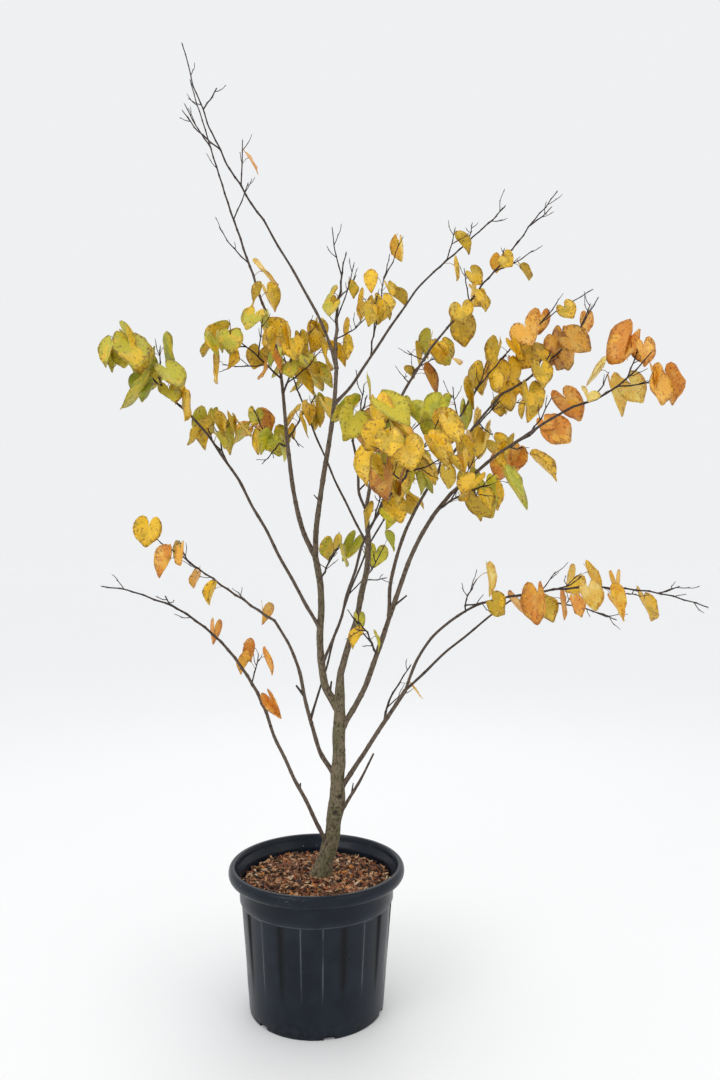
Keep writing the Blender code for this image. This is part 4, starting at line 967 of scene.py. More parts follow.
class MeshPile:
    """Points, faces and point values of many shapes, put into one mesh."""

    def __init__(self) -> None:
        """Starts empty."""
        self.points: list[Array] = []
        self.faces: list[list[int]] = []
        self.values: dict[str, list[Array]] = {}
        self.count = 0

    def add(self, points: Array, faces: list[list[int]], **values: Array) -> None:
        """Adds one shape.

        Args:
            points: Its points, in rows.
            faces: Its faces, by rows of the points.
            values: Named values, one row for each point.
        """
        self.points.append(points)
        self.faces += [[corner + self.count for corner in face] for face in faces]
        for name, rows in values.items():
            self.values.setdefault(name, []).append(np.asarray(rows, float))
        self.count += len(points)

    def add_tube(self, grid: Array, dome: float = 0.45, **values: Array) -> None:
        """Adds a grid of rings as a tube, closed at both ends.

        Args:
            grid: Rings by sides by 3.
            dome: How far each end stands out, as a share of its radius.
            values: Named values, one for each ring.
        """
        rings, sides, _ = grid.shape
        ends = []
        for ring, inner in ((0, 1), (-1, -2)):
            centre = grid[ring].mean(axis=0)
            radius = float(np.linalg.norm(grid[ring][0] - centre))
            ends.append(centre + unit(centre - grid[inner].mean(axis=0)) * radius * dome)
        points = np.vstack([grid.reshape(-1, 3), ends])
        spread = {}
        for name, rows in values.items():
            around = np.repeat(np.asarray(rows, float), sides, axis=0)
            spread[name] = np.concatenate([around, around[:1], around[-1:]])
        self.add(points, ring_faces(rings, sides) + end_faces(rings, sides), **spread)

    def build(self, name: str, smooth: bool = True) -> bpy.types.Object:
        """Makes the mesh and its object.

        Args:
            name: Name of the object and its mesh.
            smooth: Whether the faces are shaded smooth.

        Returns:
            The object, in the scene.
        """
        mesh = bpy.data.meshes.new(name)
        mesh.from_pydata(np.vstack(self.points), [], self.faces)
        for label, rows in self.values.items():
            data = np.concatenate(rows).astype(np.float32)
            kind = "FLOAT_VECTOR" if data.ndim == 2 else "FLOAT"
            attribute = mesh.attributes.new(label, kind, "POINT")
            attribute.data.foreach_set("vector" if data.ndim == 2 else "value", data.ravel())
        if smooth:
            mesh.shade_smooth()
        else:
            mesh.shade_flat()
        mesh.update()
        return put_in_scene(name, mesh)


def ring_faces(rings: int, sides: int) -> list[list[int]]:
    """Four-cornered faces between neighbouring rings, facing out, as rows of a grid's points."""
    ring, side = np.meshgrid(np.arange(rings - 1), np.arange(sides), indexing="ij")
    here = ring * sides + side
    beside = ring * sides + (side + 1) % sides
    return np.stack([here, beside, beside + sides, here + sides], axis=-1).reshape(-1, 4).tolist()


def end_faces(rings: int, sides: int) -> list[list[int]]:
    """Fans from two poles, which come after a grid's points, to its first ring and its last."""
    first, last, top = rings * sides, rings * sides + 1, (rings - 1) * sides
    faces = [[first, (side + 1) % sides, side] for side in range(sides)]
    return faces + [[last, top + side, top + (side + 1) % sides] for side in range(sides)]


def put_in_scene(name: str, data: bpy.types.ID) -> bpy.types.Object:
    """A new object that holds a mesh, a light or a camera, in the scene."""
    made = bpy.data.objects.new(name, data)
    bpy.context.scene.collection.objects.link(made)
    return made


def linear(colour: Colour) -> tuple[float, float, float, float]:
    """A colour as a screen shows it, turned into the amounts of light that a shader takes."""
    return (*[c / 12.92 if c <= 0.04045 else ((c + 0.055) / 1.055) ** 2.4 for c in colour], 1.0)


class NodeWeb:
    """A material's nodes, added and joined in one call each."""

    def __init__(self, name: str) -> None:
        """Makes a material that holds one Principled shader."""
        self.material = bpy.data.materials.new(name)
        self.material.use_nodes = True
        self.tree = self.material.node_tree
        self.shader = self.tree.nodes["Principled BSDF"]
        self.place = self.add("ShaderNodeTexCoord").outputs["Object"]

    def add(self, kind: str, settings: dict | None = None, **inputs: object) -> bpy.types.Node:
        """Adds a node.

        Args:
            kind: Blender's name for it.
            settings: Its own properties.
            inputs: Sockets by name, with _ for a space, or in0, in1 by number, each a value or an
                output to join.

        Returns:
            The node.
        """
        node = self.tree.nodes.new(kind)
        for key, value in (settings or {}).items():
            setattr(node, key, value)
        for key, value in inputs.items():
            by_number = key[:2] == "in" and key[2:].isdigit()
            socket = node.inputs[int(key[2:])] if by_number else node.inputs[key.replace("_", " ")]
            self.feed(socket, value)
        return node

    def feed(self, socket: Socket, value: object) -> None:
        """Joins an output to a socket, or sets the socket's own value."""
        if isinstance(value, Socket):
            self.tree.links.new(value, socket)
        else:
            socket.default_value = value

    def math(self, operation: str, *values: object) -> Socket:
        """One step of arithmetic on outputs or numbers."""
        named = {f"in{place}": value for place, value in enumerate(values)}
        return self.add("ShaderNodeMath", {"operation": operation}, **named).outputs[0]

    def noise(self, scale: float, detail: float = 3.0, place: Socket | None = None) -> Socket:
        """Cloudy noise about 0.5, with a scale in cells for each metre."""
        settled = self.place if place is None else place
        node = self.add("ShaderNodeTexNoise", Vector=settled, Scale=scale, Detail=detail)
        return node.outputs["Fac"]

    def cells(self, scale: float, feature: str = "F1") -> Socket:
        """Distance to the nearest cell's centre, or to its edge."""
        settings = {"feature": feature}
        node = self.add("ShaderNodeTexVoronoi", settings, Vector=self.place, Scale=scale)
        return node.outputs["Distance"]

    def ramp(self, value: object, low: float, high: float,
             start: float = 0.0, end: float = 1.0) -> Socket:
        """Maps a value from low..high to start..end by a smooth step, and holds it outside them."""
        ends = {"in1": low, "in2": high, "in3": start, "in4": end}
        settings = {"interpolation_type": "SMOOTHSTEP"}
        return self.add("ShaderNodeMapRange", settings, in0=value, **ends).outputs["Result"]

    def stretched(self, along_z: float) -> Socket:
        """The place on the piece with its height scaled, for patterns that are long or flat."""
        scale = (1.0, 1.0, along_z)
        return self.add("ShaderNodeMapping", Vector=self.place, Scale=scale).outputs[0]

    def blend(self, share: object, first: Socket | Colour, second: Socket | Colour) -> Socket:
        """A colour between two, by a share. Each is an output, or a colour as a screen shows it."""
        node = self.add("ShaderNodeMix", {"data_type": "RGBA"})
        self.feed(node.inputs[0], share)
        for socket, colour in zip(node.inputs[6:8], (first, second)):
            self.feed(socket, linear(colour) if isinstance(colour, tuple) else colour)
        return node.outputs[2]

    def value(self, name: str, output: str = "Fac") -> Socket:
        """The piece's own value of that name."""
        return self.add("ShaderNodeAttribute", {"attribute_name": name}).outputs[output]

    def bump(self, height: object, distance: float, strength: float,
             below: object = None) -> Socket:
        """A bumped normal from a height, over another bump where one is given."""
        node = self.add("ShaderNodeBump", Height=height, Distance=distance, Strength=strength)
        if below is not None:
            self.feed(node.inputs["Normal"], below)
        return node.outputs["Normal"]

    def finish(self, colour: object, roughness: object, normal: Socket | None = None,
               **fixed: float) -> Material:
        """Joins the results to the shader.

        Args:
            colour: Base colour.
            roughness: Roughness.
            normal: Bumped normal, or None on an even surface.
            fixed: Other sockets of the shader, with _ for a space.

        Returns:
            The material.
        """
        self.feed(self.shader.inputs["Base Color"], colour)
        self.feed(self.shader.inputs["Roughness"], roughness)
        if normal is not None:
            self.feed(self.shader.inputs["Normal"], normal)
        for key, value in fixed.items():
            self.shader.inputs[key.replace("_", " ")].default_value = value
        return self.material


@dataclass(frozen=True)
class BarkFinish:
    """Bark, olive grey on the trunk, grey brown on the boughs and dark brown on the twigs."""

    trunk: Colour = (0.46, 0.41, 0.315)
    trunk_dark: Colour = (0.20, 0.16, 0.115)
    algae: Colour = (0.39, 0.37, 0.25)
    bough: Colour = (0.40, 0.34, 0.285)
    bough_dark: Colour = (0.19, 0.15, 0.125)
    twig: Colour = (0.24, 0.185, 0.165)
    twig_dark: Colour = (0.12, 0.085, 0.08)
    lenticel: Colour = (0.60, 0.56, 0.50)
    thick: float = 13.0 * MM
    middling: float = 5.0 * MM
    thin: float = 2.0 * MM

    def material(self) -> Material:
        """Three pairs of colours chosen by girth, with cracks, pale pores and a rough skin."""
        web = NodeWeb("bark")
        girth = web.value("girth")
        patches = web.noise(46.0, 4.0)
        cracks = web.noise(210.0, 5.0, web.stretched(0.6))
        trunk = web.blend(web.ramp(patches, 0.42, 0.66), self.trunk, self.algae)
        trunk = web.blend(web.ramp(cracks, 0.46, 0.66, 0.0, 0.85), trunk, self.trunk_dark)
        bough = web.blend(web.ramp(cracks, 0.42, 0.74), self.bough, self.bough_dark)
        twig = web.blend(web.ramp(cracks, 0.35, 0.70), self.twig, self.twig_dark)
        slim = web.blend(web.ramp(girth, self.thin, self.middling), twig, bough)
        colour = web.blend(web.ramp(girth, self.middling, self.thick), slim, trunk)
        pores = web.ramp(web.cells(210.0), 0.16, 0.10)
        pores = web.math("MULTIPLY", pores, web.ramp(web.noise(95.0, 1.0), 0.52, 0.60))
        colour = web.blend(web.math("MULTIPLY", pores, 0.55), colour, self.lenticel)
        hollows = web.ramp(web.value("hollow"), 0.15, 0.9)
        colour = web.blend(hollows, colour, self.trunk_dark)
        coarse = web.bump(cracks, 1.2 * MM, 0.55)
        fine = web.bump(web.noise(900.0, 2.0), 0.4 * MM, 0.4, coarse)
        return web.finish(colour, web.ramp(cracks, 0.3, 0.7, 0.70, 0.92), fine)


@dataclass(frozen=True)
class LeafFinish:
    """A leaf in one tint: a second tone in patches, brown flecks and edge, and pale veins."""

    tint: Tint
    base: Colour
    second: Colour
    fleck: Colour
    vein: Colour
    flecked: float

    VEINS = (0.0, 0.50, 1.05, 1.75)

    def vein_distance(self, web: NodeWeb) -> Socket:
        """Distance from the nearest main vein, where each is a ray from the stalk.

        For a ray at turn a it is |across cos(a) - along sin(a)|, with across taken on one side.
        """
        split = web.add("ShaderNodeSeparateXYZ", in0=web.value("blade", "Vector"))
        along, across = split.outputs[0], web.math("ABSOLUTE", split.outputs[1])
        nearest: object = 1.0
        for turn in self.VEINS:
            off = web.math("MULTIPLY", along, math.sin(turn))
            off = web.math("MULTIPLY_ADD", across, -math.cos(turn), off)
            nearest = web.math("MINIMUM", nearest, web.math("ABSOLUTE", off))
        return nearest

    def material(self) -> Material:
        """Base tint, patches, flecks, browned edge and veins, with a net of fine veins as bump."""
        web = NodeWeb(f"leaf_{self.tint.value}")
        tone = web.value("tone")
        edge = web.add("ShaderNodeSeparateXYZ", in0=web.value("blade", "Vector")).outputs[2]
        patches = web.math("MULTIPLY_ADD", tone, 0.16, web.noise(30.0, 5.0))
        colour = web.blend(web.ramp(patches, 0.45, 0.57), self.base, self.second)
        pale = web.ramp(web.noise(24.0, 2.0), 0.50, 0.72, 0.0, 0.55)
        colour = web.blend(pale, colour, self.vein)
        veins = self.vein_distance(web)
        colour = web.blend(web.ramp(veins, 0.016, 0.002, 0.0, 0.38), colour, self.vein)
        worn = web.math("MULTIPLY_ADD", edge, 0.13, web.noise(150.0, 6.0))
        blots = web.ramp(worn, 0.66 - 0.05 * self.flecked, 0.79 - 0.05 * self.flecked)
        dots = web.ramp(web.cells(330.0), 0.32, 0.14)
        dots = web.math("MULTIPLY", dots, web.ramp(web.noise(75.0, 2.0), 0.40, 0.55))
        marks = web.math("MAXIMUM", blots, web.math("MULTIPLY", dots, self.flecked))
        colour = web.blend(web.math("MULTIPLY", marks, 0.75), colour, self.fleck)
        burnt = web.ramp(web.noise(70.0, 3.0), 0.42, 0.64)
        burnt = web.math("MULTIPLY", web.ramp(edge, 0.72, 1.0), burnt)
        burnt = web.math("MULTIPLY", burnt, 0.25 + 0.5 * self.flecked)
        colour = web.blend(burnt, colour, self.fleck)
        net = web.bump(web.cells(420.0, "DISTANCE_TO_EDGE"), 0.5 * MM, 0.3)
        puckers = web.bump(web.noise(110.0, 2.0), 2.2 * MM, 0.45, net)
        ribs = web.bump(web.ramp(veins, 0.035, 0.0), 0.8 * MM, 0.45, puckers)
        return web.finish(colour, web.ramp(patches, 0.3, 0.7, 0.44, 0.62), ribs)


@dataclass(frozen=True)
class StalkFinish:
    """Leaf stalks, buff to reddish brown."""

    buff: Colour = (0.60, 0.44, 0.22)
    brown: Colour = (0.36, 0.22, 0.14)

    def material(self) -> Material:
        """Two tones in patches along the stalks."""
        web = NodeWeb("leaf_stalk")
        patches = web.noise(55.0, 2.0)
        colour = web.blend(web.ramp(patches, 0.36, 0.66), self.buff, self.brown)
        return web.finish(colour, 0.55, web.bump(web.noise(900.0), 0.2 * MM, 0.2))


@dataclass(frozen=True)
class PlasticFinish:
    """Blue-black moulded plastic with a satin skin, painted glints along its flutes and the
    collar's foot, painted shade in its flutes, pale scuffs on its lip and dust at its foot.
    """

    skin: Colour = (0.062, 0.090, 0.128)
    worn: Colour = (0.090, 0.122, 0.166)
    painted_glint: Colour = (0.31, 0.33, 0.37)
    shaded: Colour = (0.022, 0.025, 0.034)
    scuff: Colour = (0.52, 0.53, 0.54)
    dust: Colour = (0.30, 0.29, 0.27)

    def material(self) -> Material:
        """Faint cloudiness, painted shade and painted glints by the wall's own value, scratches by
        stretched noise, and dust by height.
        """
        web = NodeWeb("pot_plastic")
        cloudy = web.noise(14.0, 4.0)
        colour = web.blend(web.ramp(cloudy, 0.40, 0.70), self.skin, self.worn)
        # Painted shade darkens the shaded side of each flute where the wall's value is below zero.
        rub = web.value("rub")
        colour = web.blend(web.ramp(rub, 0.0, -1.0, 0.0, 0.9), colour, self.shaded)
        # Painted glints lighten flute edges and the collar's foot where the wall's value is above
        # zero, broken up by noise.
        streaks = web.ramp(web.noise(17.0, 3.0), 0.36, 0.62, 0.12, 0.9)
        painted_glint = web.math("MULTIPLY", web.ramp(rub, 0.0, 1.0), streaks)
        colour = web.blend(painted_glint, colour, self.painted_glint)
        height = web.add("ShaderNodeSeparateXYZ", in0=web.place).outputs[2]
        dusty = web.ramp(web.noise(60.0, 4.0), 0.42, 0.70)
        foot = web.math("MULTIPLY", web.ramp(height, 0.05, 0.0), dusty)
        colour = web.blend(web.math("MULTIPLY", foot, 0.2), colour, self.dust)
        marks = web.ramp(web.noise(150.0, 5.0, web.stretched(3.2)), 0.665, 0.70)
        on_lip = web.ramp(height, 0.335, 0.350)
        marks = web.math("MULTIPLY", marks, web.math("MULTIPLY_ADD", on_lip, 0.75, 0.10))
        marks = web.math("MULTIPLY", marks, web.ramp(web.noise(16.0, 1.0), 0.50, 0.62))
        colour = web.blend(marks, colour, self.scuff)
        grain = web.bump(web.noise(1300.0, 2.0), 0.15 * MM, 0.35)
        rough = web.ramp(cloudy, 0.3, 0.7, 0.26, 0.36)
        normal = web.bump(web.noise(9.0, 2.0), 1.5 * MM, 0.15, grain)
        return web.finish(colour, rough, normal, Specular_IOR_Level=0.20)


@dataclass(frozen=True)
class ChipFinish:
    """Bark chips in one shade, with grain in a darker tone."""

    name: str
    shade: Colour
    share: float

    def material(self) -> Material:
        """The shade, darkened in streaks."""
        web = NodeWeb(f"chips_{self.name}")
        grain = web.noise(420.0, 4.0)
        dark = tuple(0.55 * c for c in self.shade)
        colour = web.blend(web.ramp(grain, 0.40, 0.70), self.shade, dark)
        return web.finish(colour, 0.86, web.bump(grain, 0.8 * MM, 0.5))


LEAF_FINISHES = (
    LeafFinish(T.GOLD, (0.93, 0.74, 0.10), (0.76, 0.63, 0.13),
        (0.47, 0.29, 0.11), (0.90, 0.78, 0.37), 0.8),
    LeafFinish(T.AMBER, (0.92, 0.67, 0.21), (0.86, 0.55, 0.18),
        (0.56, 0.31, 0.13), (0.93, 0.77, 0.42), 0.8),
    LeafFinish(T.LIME, (0.80, 0.76, 0.13), (0.66, 0.67, 0.14),
        (0.54, 0.38, 0.14), (0.82, 0.77, 0.38), 0.5),
    LeafFinish(T.OLIVE, (0.73, 0.69, 0.15), (0.87, 0.71, 0.16),
        (0.45, 0.32, 0.13), (0.78, 0.74, 0.38), 0.7),
    LeafFinish(T.GREEN, (0.60, 0.63, 0.13), (0.80, 0.73, 0.18),
        (0.46, 0.35, 0.13), (0.69, 0.69, 0.31), 0.55),
    LeafFinish(T.RUST, (0.80, 0.56, 0.11), (0.68, 0.42, 0.09),
        (0.38, 0.22, 0.09), (0.80, 0.65, 0.30), 0.95),
    LeafFinish(T.PALE, (0.90, 0.80, 0.40), (0.87, 0.70, 0.27),
        (0.66, 0.45, 0.20), (0.93, 0.87, 0.58), 0.65),
    LeafFinish(T.BRIGHT, (0.95, 0.77, 0.15), (0.90, 0.66, 0.15),
        (0.62, 0.36, 0.12), (0.94, 0.84, 0.42), 0.65),
)

CHIP_FINISHES = (
    ChipFinish("tan", (0.76, 0.57, 0.41), 0.24),
    ChipFinish("brown", (0.50, 0.33, 0.22), 0.23),
    ChipFinish("dark", (0.21, 0.14, 0.105), 0.28),
    ChipFinish("red", (0.60, 0.34, 0.20), 0.14),
    ChipFinish("pale", (0.86, 0.74, 0.60), 0.07),
    ChipFinish("orange", (0.80, 0.50, 0.20), 0.04),
)


def settle(piece: bpy.types.Object, material: Material, slot: str, *nodes: str) -> None:
    """Gives a finished piece its material and its place in the frame.

    Args:
        piece: The piece.
        material: Its finish.
        slot: The record's material slot; not used.
        nodes: The solids that it stands for.
    """
    piece.data.materials.append(material)
    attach(piece, BODY)
    if nodes:
        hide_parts(*nodes)
    LOG.info("%s: %d faces", piece.name, len(piece.data.polygons))


@dataclass
class Wood:
    """The trunk and the boughs, each a surface with bark relief."""

    skeleton: Skeleton
    finish: Material
    trunk_sides: int = 64
    bough_sides: tuple[int, int] = (18, 28)
    thick_from: float = 12.0
    trunk_pitch: float = 2.6 * MM
    pitch: float = 3.4 * MM
    ease: float = 0.40
    foot_sunk: float = 0.012
    crack_length: float = 0.020
    crack_width: float = 0.005
    crack_share: float = 0.055
    crack_from: float = 0.72
    crack_range: float = 0.28
    crack_dark: float = 0.6
    trunk_crack_dark: float = 0.45
    noise_step: float = 0.37
    lump_size: float = 0.030
    lump_share: float = 0.07
    stout: float = 1.18
    trunk_stout: float = 1.14
    spur_stout: float = 1.7
    collar: float = 0.45
    collar_length: float = 0.014
    node_pitch: float = 0.048
    node_swell: float = 0.10
    node_width: float = 0.09
    node_thin: float = 9.0 * MM
    flare_ridges: int = 5
    flare_size: float = 5.5 * MM
    flare_fade: float = 0.028
    scar_size: float = 0.45
    scar_depth: float = 1.5
    stub_rings: int = 12
    stub_sides: int = 12
    stub_rough: float = 0.10
    noise: Noise = field(default_factory=lambda: Noise(11))

    def build(self) -> None:
        """Every limb in turn, as a piece that stands for its own solid."""
        self.limb(TRUNK, self.trunk_sides, self.trunk_pitch)
        for limb in LIMBS:
            thick = limb.root_diameter > self.thick_from
            self.limb(limb, self.bough_sides[thick], self.pitch)
        self.stubs()

    def limb(self, limb: Limb, sides: int, pitch: float) -> None:
        """One limb.

        Args:
            limb: Its row in the table.
            sides: Places round it.
            pitch: Distance between rings.
        """
        line, radii = self.skeleton.lines[limb.name], self.skeleton.radii[limb.name]
        line, radii = smooth_line(line, radii, pitch, self.ease)
        radii = radii * self.stoutness(limb)
        if limb is TRUNK:
            kept = line[:, 2] > MIX_TOP - self.foot_sunk
            line, radii = line[kept], radii[kept]
        grid, hollow = self.surface(line, radii, sides, limb)
        pile = MeshPile()
        pile.add_tube(grid, girth=radii)
        pile.values["hollow"] = [np.concatenate([hollow.ravel(), hollow[[0, -1], 0]])]
        settle(pile.build(f"{limb.name}_bark"), self.finish, "bark", limb.name)

    def surface(self, line: Array, radii: Array, sides: int, limb: Limb) -> tuple[Array, Array]:
        """A limb's rings with their relief.

        Args:
            line: Centres of the rings.
            radii: Plain radius of each.
            sides: Places round it.
            limb: Its row in the table.

        Returns:
            The grid, and how deep in a scar each point lies. The radius is the plain one times
            1 + lumps - cracks, swollen at its root, at its nodes, at its knots and at its flare.
        """
        walked = walked_along(line)
        turn = np.linspace(0.0, 2 * math.pi, sides, endpoint=False)
        x = radii[:, None] * np.cos(turn)
        y = radii[:, None] * np.sin(turn)
        z = np.repeat(walked[:, None], sides, axis=1) + self.noise_step * len(limb.name)
        fine = np.stack([x / self.crack_width, y / self.crack_width, z / self.crack_length], -1)
        broad = np.stack([x, y, z], axis=-1) / self.lump_size
        cracks = 1 - np.abs(self.noise.layered(fine))
        cracks = np.clip((cracks - self.crack_from) / self.crack_range, 0.0, 1.0)
        relief = self.lump_share * self.noise.layered(broad) - self.crack_share * cracks
        past = np.maximum(walked - self.parent_radius(limb), 0.0)
        swell = self.collar * np.exp(-past / self.collar_length)
        swell = swell * (limb.at < 1.0) * (limb is not TRUNK)
        at_node = (walked % self.node_pitch) / self.node_pitch - 0.5
        knuckles = self.node_swell * np.exp(-((at_node / self.node_width) ** 2))
        swell = swell + knuckles * (radii < self.node_thin)
        girth = radii[:, None] * (1 + relief + swell[:, None])
        hollow = self.crack_dark * cracks
        if limb is TRUNK:
            girth, scars = self.knotted(girth + self.flare(line, turn), line, turn)
            hollow = np.maximum(self.trunk_crack_dark * cracks, scars)
        return tube_grid(line, girth), hollow

    def stoutness(self, limb: Limb) -> float:
        """How much thicker a limb's bark is than its plain line."""
        if limb is TRUNK:
            return self.trunk_stout
        return self.spur_stout if limb.name == "dead_spur" else self.stout

    def parent_radius(self, limb: Limb) -> float:
        """Radius of the limb that a bough leaves, where it leaves it."""
        if limb is TRUNK:
            return 0.0
        return radius_at(self.skeleton.radii[limb.parent], limb.at)

    def flare(self, line: Array, turn: Array) -> Array:
        """Ridges where the roots leave the trunk, fading upwards by exp(-height / 28 mm)."""
        height = line[:, 2] - MIX_TOP
        ridges = 0.5 + 0.5 * np.cos(self.flare_ridges * turn + 0.7 * np.sin(2 * turn))
        fading = np.exp(-np.maximum(height, 0) / self.flare_fade)[:, None]
        return self.flare_size * fading * (ridges - 0.35)

    def knotted(self, girth: Array, line: Array, turn: Array) -> tuple[Array, Array]:
        """Swells the trunk round each knot and sinks its middle.

        Args:
            girth: Radius by ring and side.
            line: Centres of the rings.
            turn: Turn of each side.

        Returns:
            The new radii and how dark each point is. A knot of size s adds its depth times
            exp(-(d/s)^2) less 1.5 exp(-(d/0.45s)^2), at distance d over the surface.
        """
        side, rise = frames_along(line)
        scars = np.zeros_like(girth)
        for knot in KNOTS:
            way = math.radians(knot.turn)
            front = np.array([math.sin(way), -math.cos(way), 0.0])
            middle = np.arctan2(rise @ front, side @ front)
            apart = (turn[None] - middle[:, None] + math.pi) % (2 * math.pi) - math.pi
            over = np.hypot(apart * girth, (line[:, 2] - knot.height)[:, None])
            girth = girth + knot.depth * np.exp(-((over / knot.size) ** 2))
            sunk = np.exp(-((over / (self.scar_size * knot.size)) ** 2))
            girth = girth - self.scar_depth * knot.depth * sunk
            scars = np.maximum(scars, sunk)
        return girth, scars

    def stubs(self) -> None:
        """Short cut spurs, each a tapering tube with a darker end."""
        pile = MeshPile()
        side = np.arange(self.stub_sides)[None, :, None]
        darkened = np.linspace(0, 1, self.stub_rings) ** 8
        for stub in STUBS:
            root, _ = point_at(self.skeleton.lines[stub.carrier], stub.at)
            reach = np.linspace(0.0, stub.length + 2.5 * stub.root, self.stub_rings)
            line = root + reach[:, None] * unit(np.array(stub.heading))
            radii = taper(stub.root * 1.25, stub.tip, self.stub_rings, 1.6)
            around = np.repeat(radii[:, None], self.stub_sides, axis=1)
            around *= 1 + self.stub_rough * self.noise.at(line[:, None] * 150 + side)
            pile.add_tube(tube_grid(line, around), girth=radii, hollow=darkened)
        settle(pile.build("pruned_stubs"), self.finish, "bark")


@dataclass
class Twigs:
    """Stems, side shoots and finer twigs of every spray, with their buds."""

    growths: list[Growth]
    finish: Material
    pitch: float = 5.0 * MM
    ease: float = 0.25
    stem_sides: int = 8
    shoot_sides: int = 6
    fine_sides: int = 5
    node_pitch: float = 0.029
    zigzag: float = 1.3 * MM
    zigzag_from: float = 0.02
    swelling: float = 0.26
    swelling_width: float = 0.0035
    stout: float = 1.28
    shoot_tip: float = 0.9
    fine_on_shoot: int = 2
    fine_on_stem: int = 3
    fine_root: float = 1.0 * MM
    fine_tip: float = 0.65 * MM
    fine_bow: float = 0.08
    fine_kink: float = 0.9 * MM
    fine_points: int = 4
    bud_length: float = 4.2 * MM
    bud_width: float = 1.5 * MM
    bud_sides: int = 5
    bud_stops: tuple[float, ...] = (0.0, 0.3, 0.65, 1.0)
    bud_widths: tuple[float, ...] = (0.55, 1.0, 0.75, 0.12)
    bud_lean: float = 0.75
    leaf_clear: float = 6.0 * MM
    overhang: float = 8.0 * MM
    pile: MeshPile = field(default_factory=MeshPile)

    def build(self) -> None:
        """All the twigs as one piece that stands for every spray."""
        for growth in self.growths:
            self.spray(growth)
        names = [growth.spray.name for growth in self.growths]
        settle(self.pile.build("twigs"), self.finish, "bark", *names)

    def spray(self, growth: Growth) -> None:
        """One spray's twigs, with finer twigs drawn from a seed of their own."""
        rng = Random(growth.spray.name + "_fine")
        self.twig(growth.stem, growth.stem_radii, self.stem_sides, rng)
        for shoot in growth.shoots:
            radii = taper(SHOOT_ROOT, TWIG_TIP * self.shoot_tip, len(shoot))
            self.twig(shoot, radii, self.shoot_sides, rng)
            self.fine_twigs(growth, shoot, rng, self.fine_on_shoot)
        self.fine_twigs(growth, growth.stem, rng, self.fine_on_stem)

    def twig(self, line: Array, radii: Array, sides: int, rng: Random) -> None:
        """A twig that zigzags a little and swells at its nodes, with a bud at each.

        Args:
            line: Its line.
            radii: Its radii.
            sides: Places round it.
            rng: Where the draws come from.
        """
        smooth, plain = smooth_line(line, radii * self.stout, self.pitch, self.ease)
        side, rise = frames_along(smooth)
        walked = np.linspace(0.0, span(smooth), len(smooth))
        phase = walked / self.node_pitch
        swing = np.abs((phase % 2) - 1) * 2 - 1
        from_end = np.minimum(walked, walked[-1] - walked)
        ease = from_end.clip(0, self.zigzag_from) / self.zigzag_from
        turn = rng.uniform(0, math.pi)
        sway = math.cos(turn) * side + math.sin(turn) * rise
        smooth = smooth + sway * (self.zigzag * swing * ease)[:, None]
        near = np.abs((phase + 0.5) % 1 - 0.5) * self.node_pitch
        girth = plain * (1 + self.swelling * np.exp(-((near / self.swelling_width) ** 2)))
        grid = even_tube(smooth, girth, sides)
        self.pile.add_tube(grid, girth=plain, hollow=np.zeros(len(plain)))
        for number in range(1, int(walked[-1] / self.node_pitch) + 1):
            place = min(number * self.node_pitch / walked[-1], 1.0)
            self.bud(smooth, plain, place, sway * (-1) ** number)
        self.bud(smooth, plain, 1.0, None)

    def bud(self, line: Array, radii: Array, place: float, sides: Array | None) -> None:
        """A pointed oval bud that leans forward from its node, or sits on the twig's tip.

        Args:
            line: The twig's line.
            radii: Its radii.
            place: Share of the way along.
            sides: Direction it leans to at each point, or None at the tip.
        """
        index = min(int(place * (len(line) - 1)), len(line) - 1)
        node, heading = point_at(line, place)
        lean = heading if sides is None else unit(heading + self.bud_lean * sides[index])
        root = node + (lean - heading) * radii[index] * 0.8
        width = np.array(self.bud_widths) * self.bud_width / 2
        middle = root + np.array(self.bud_stops)[:, None] * lean * self.bud_length
        none = np.zeros(len(width))
        self.pile.add_tube(even_tube(middle, width, self.bud_sides), girth=none, hollow=none)

    def fine_twigs(self, growth: Growth, line: Array, rng: Random, count: int) -> None:
        """Finer twigs off a line, each left out where it would touch something.

        Args:
            growth: The spray.
            line: The stem or shoot that they leave.
            rng: Where the draws come from.
            count: How many are tried.
        """
        leaves = np.vstack(growth.own) if growth.own else NOWHERE
        for number in range(count):
            node, heading = point_at(line, Span.FINE_PLACE.draw(rng))
            side = square_to(heading, math.pi * number + Span.FINE_TURN.draw(rng))
            aside = heading + Span.FINE_SPREAD.draw(rng) * side
            leaving = unit(aside + Span.FINE_RISE.draw(rng) * UP)
            length = Span.FINE_LENGTH.draw(rng)
            bow = self.fine_bow * length * side
            fine = bowed_line(node, node + leaving * length, bow, STRAIGHT, self.fine_points)
            fine = kink(fine, self.fine_kink, rng)
            if self.fine_fits(growth, fine, leaves):
                radii = taper(self.fine_root, self.fine_tip, self.fine_points)
                self.twig(fine, radii, self.fine_sides, rng)

    def fine_fits(self, growth: Growth, fine: Array, leaves: Array) -> bool:
        """Whether a finer twig stays near the solids' box and clear of leaves, limbs and sprays."""
        probes = probes_along(fine, 0.35, 6)
        low, high = CAD_LOW - self.overhang, CAD_HIGH + self.overhang
        if not ((probes > low).all() and (probes < high).all()):
            return False
        return least_apart(probes, leaves) > self.leaf_clear and growth.shoot_fits(fine)


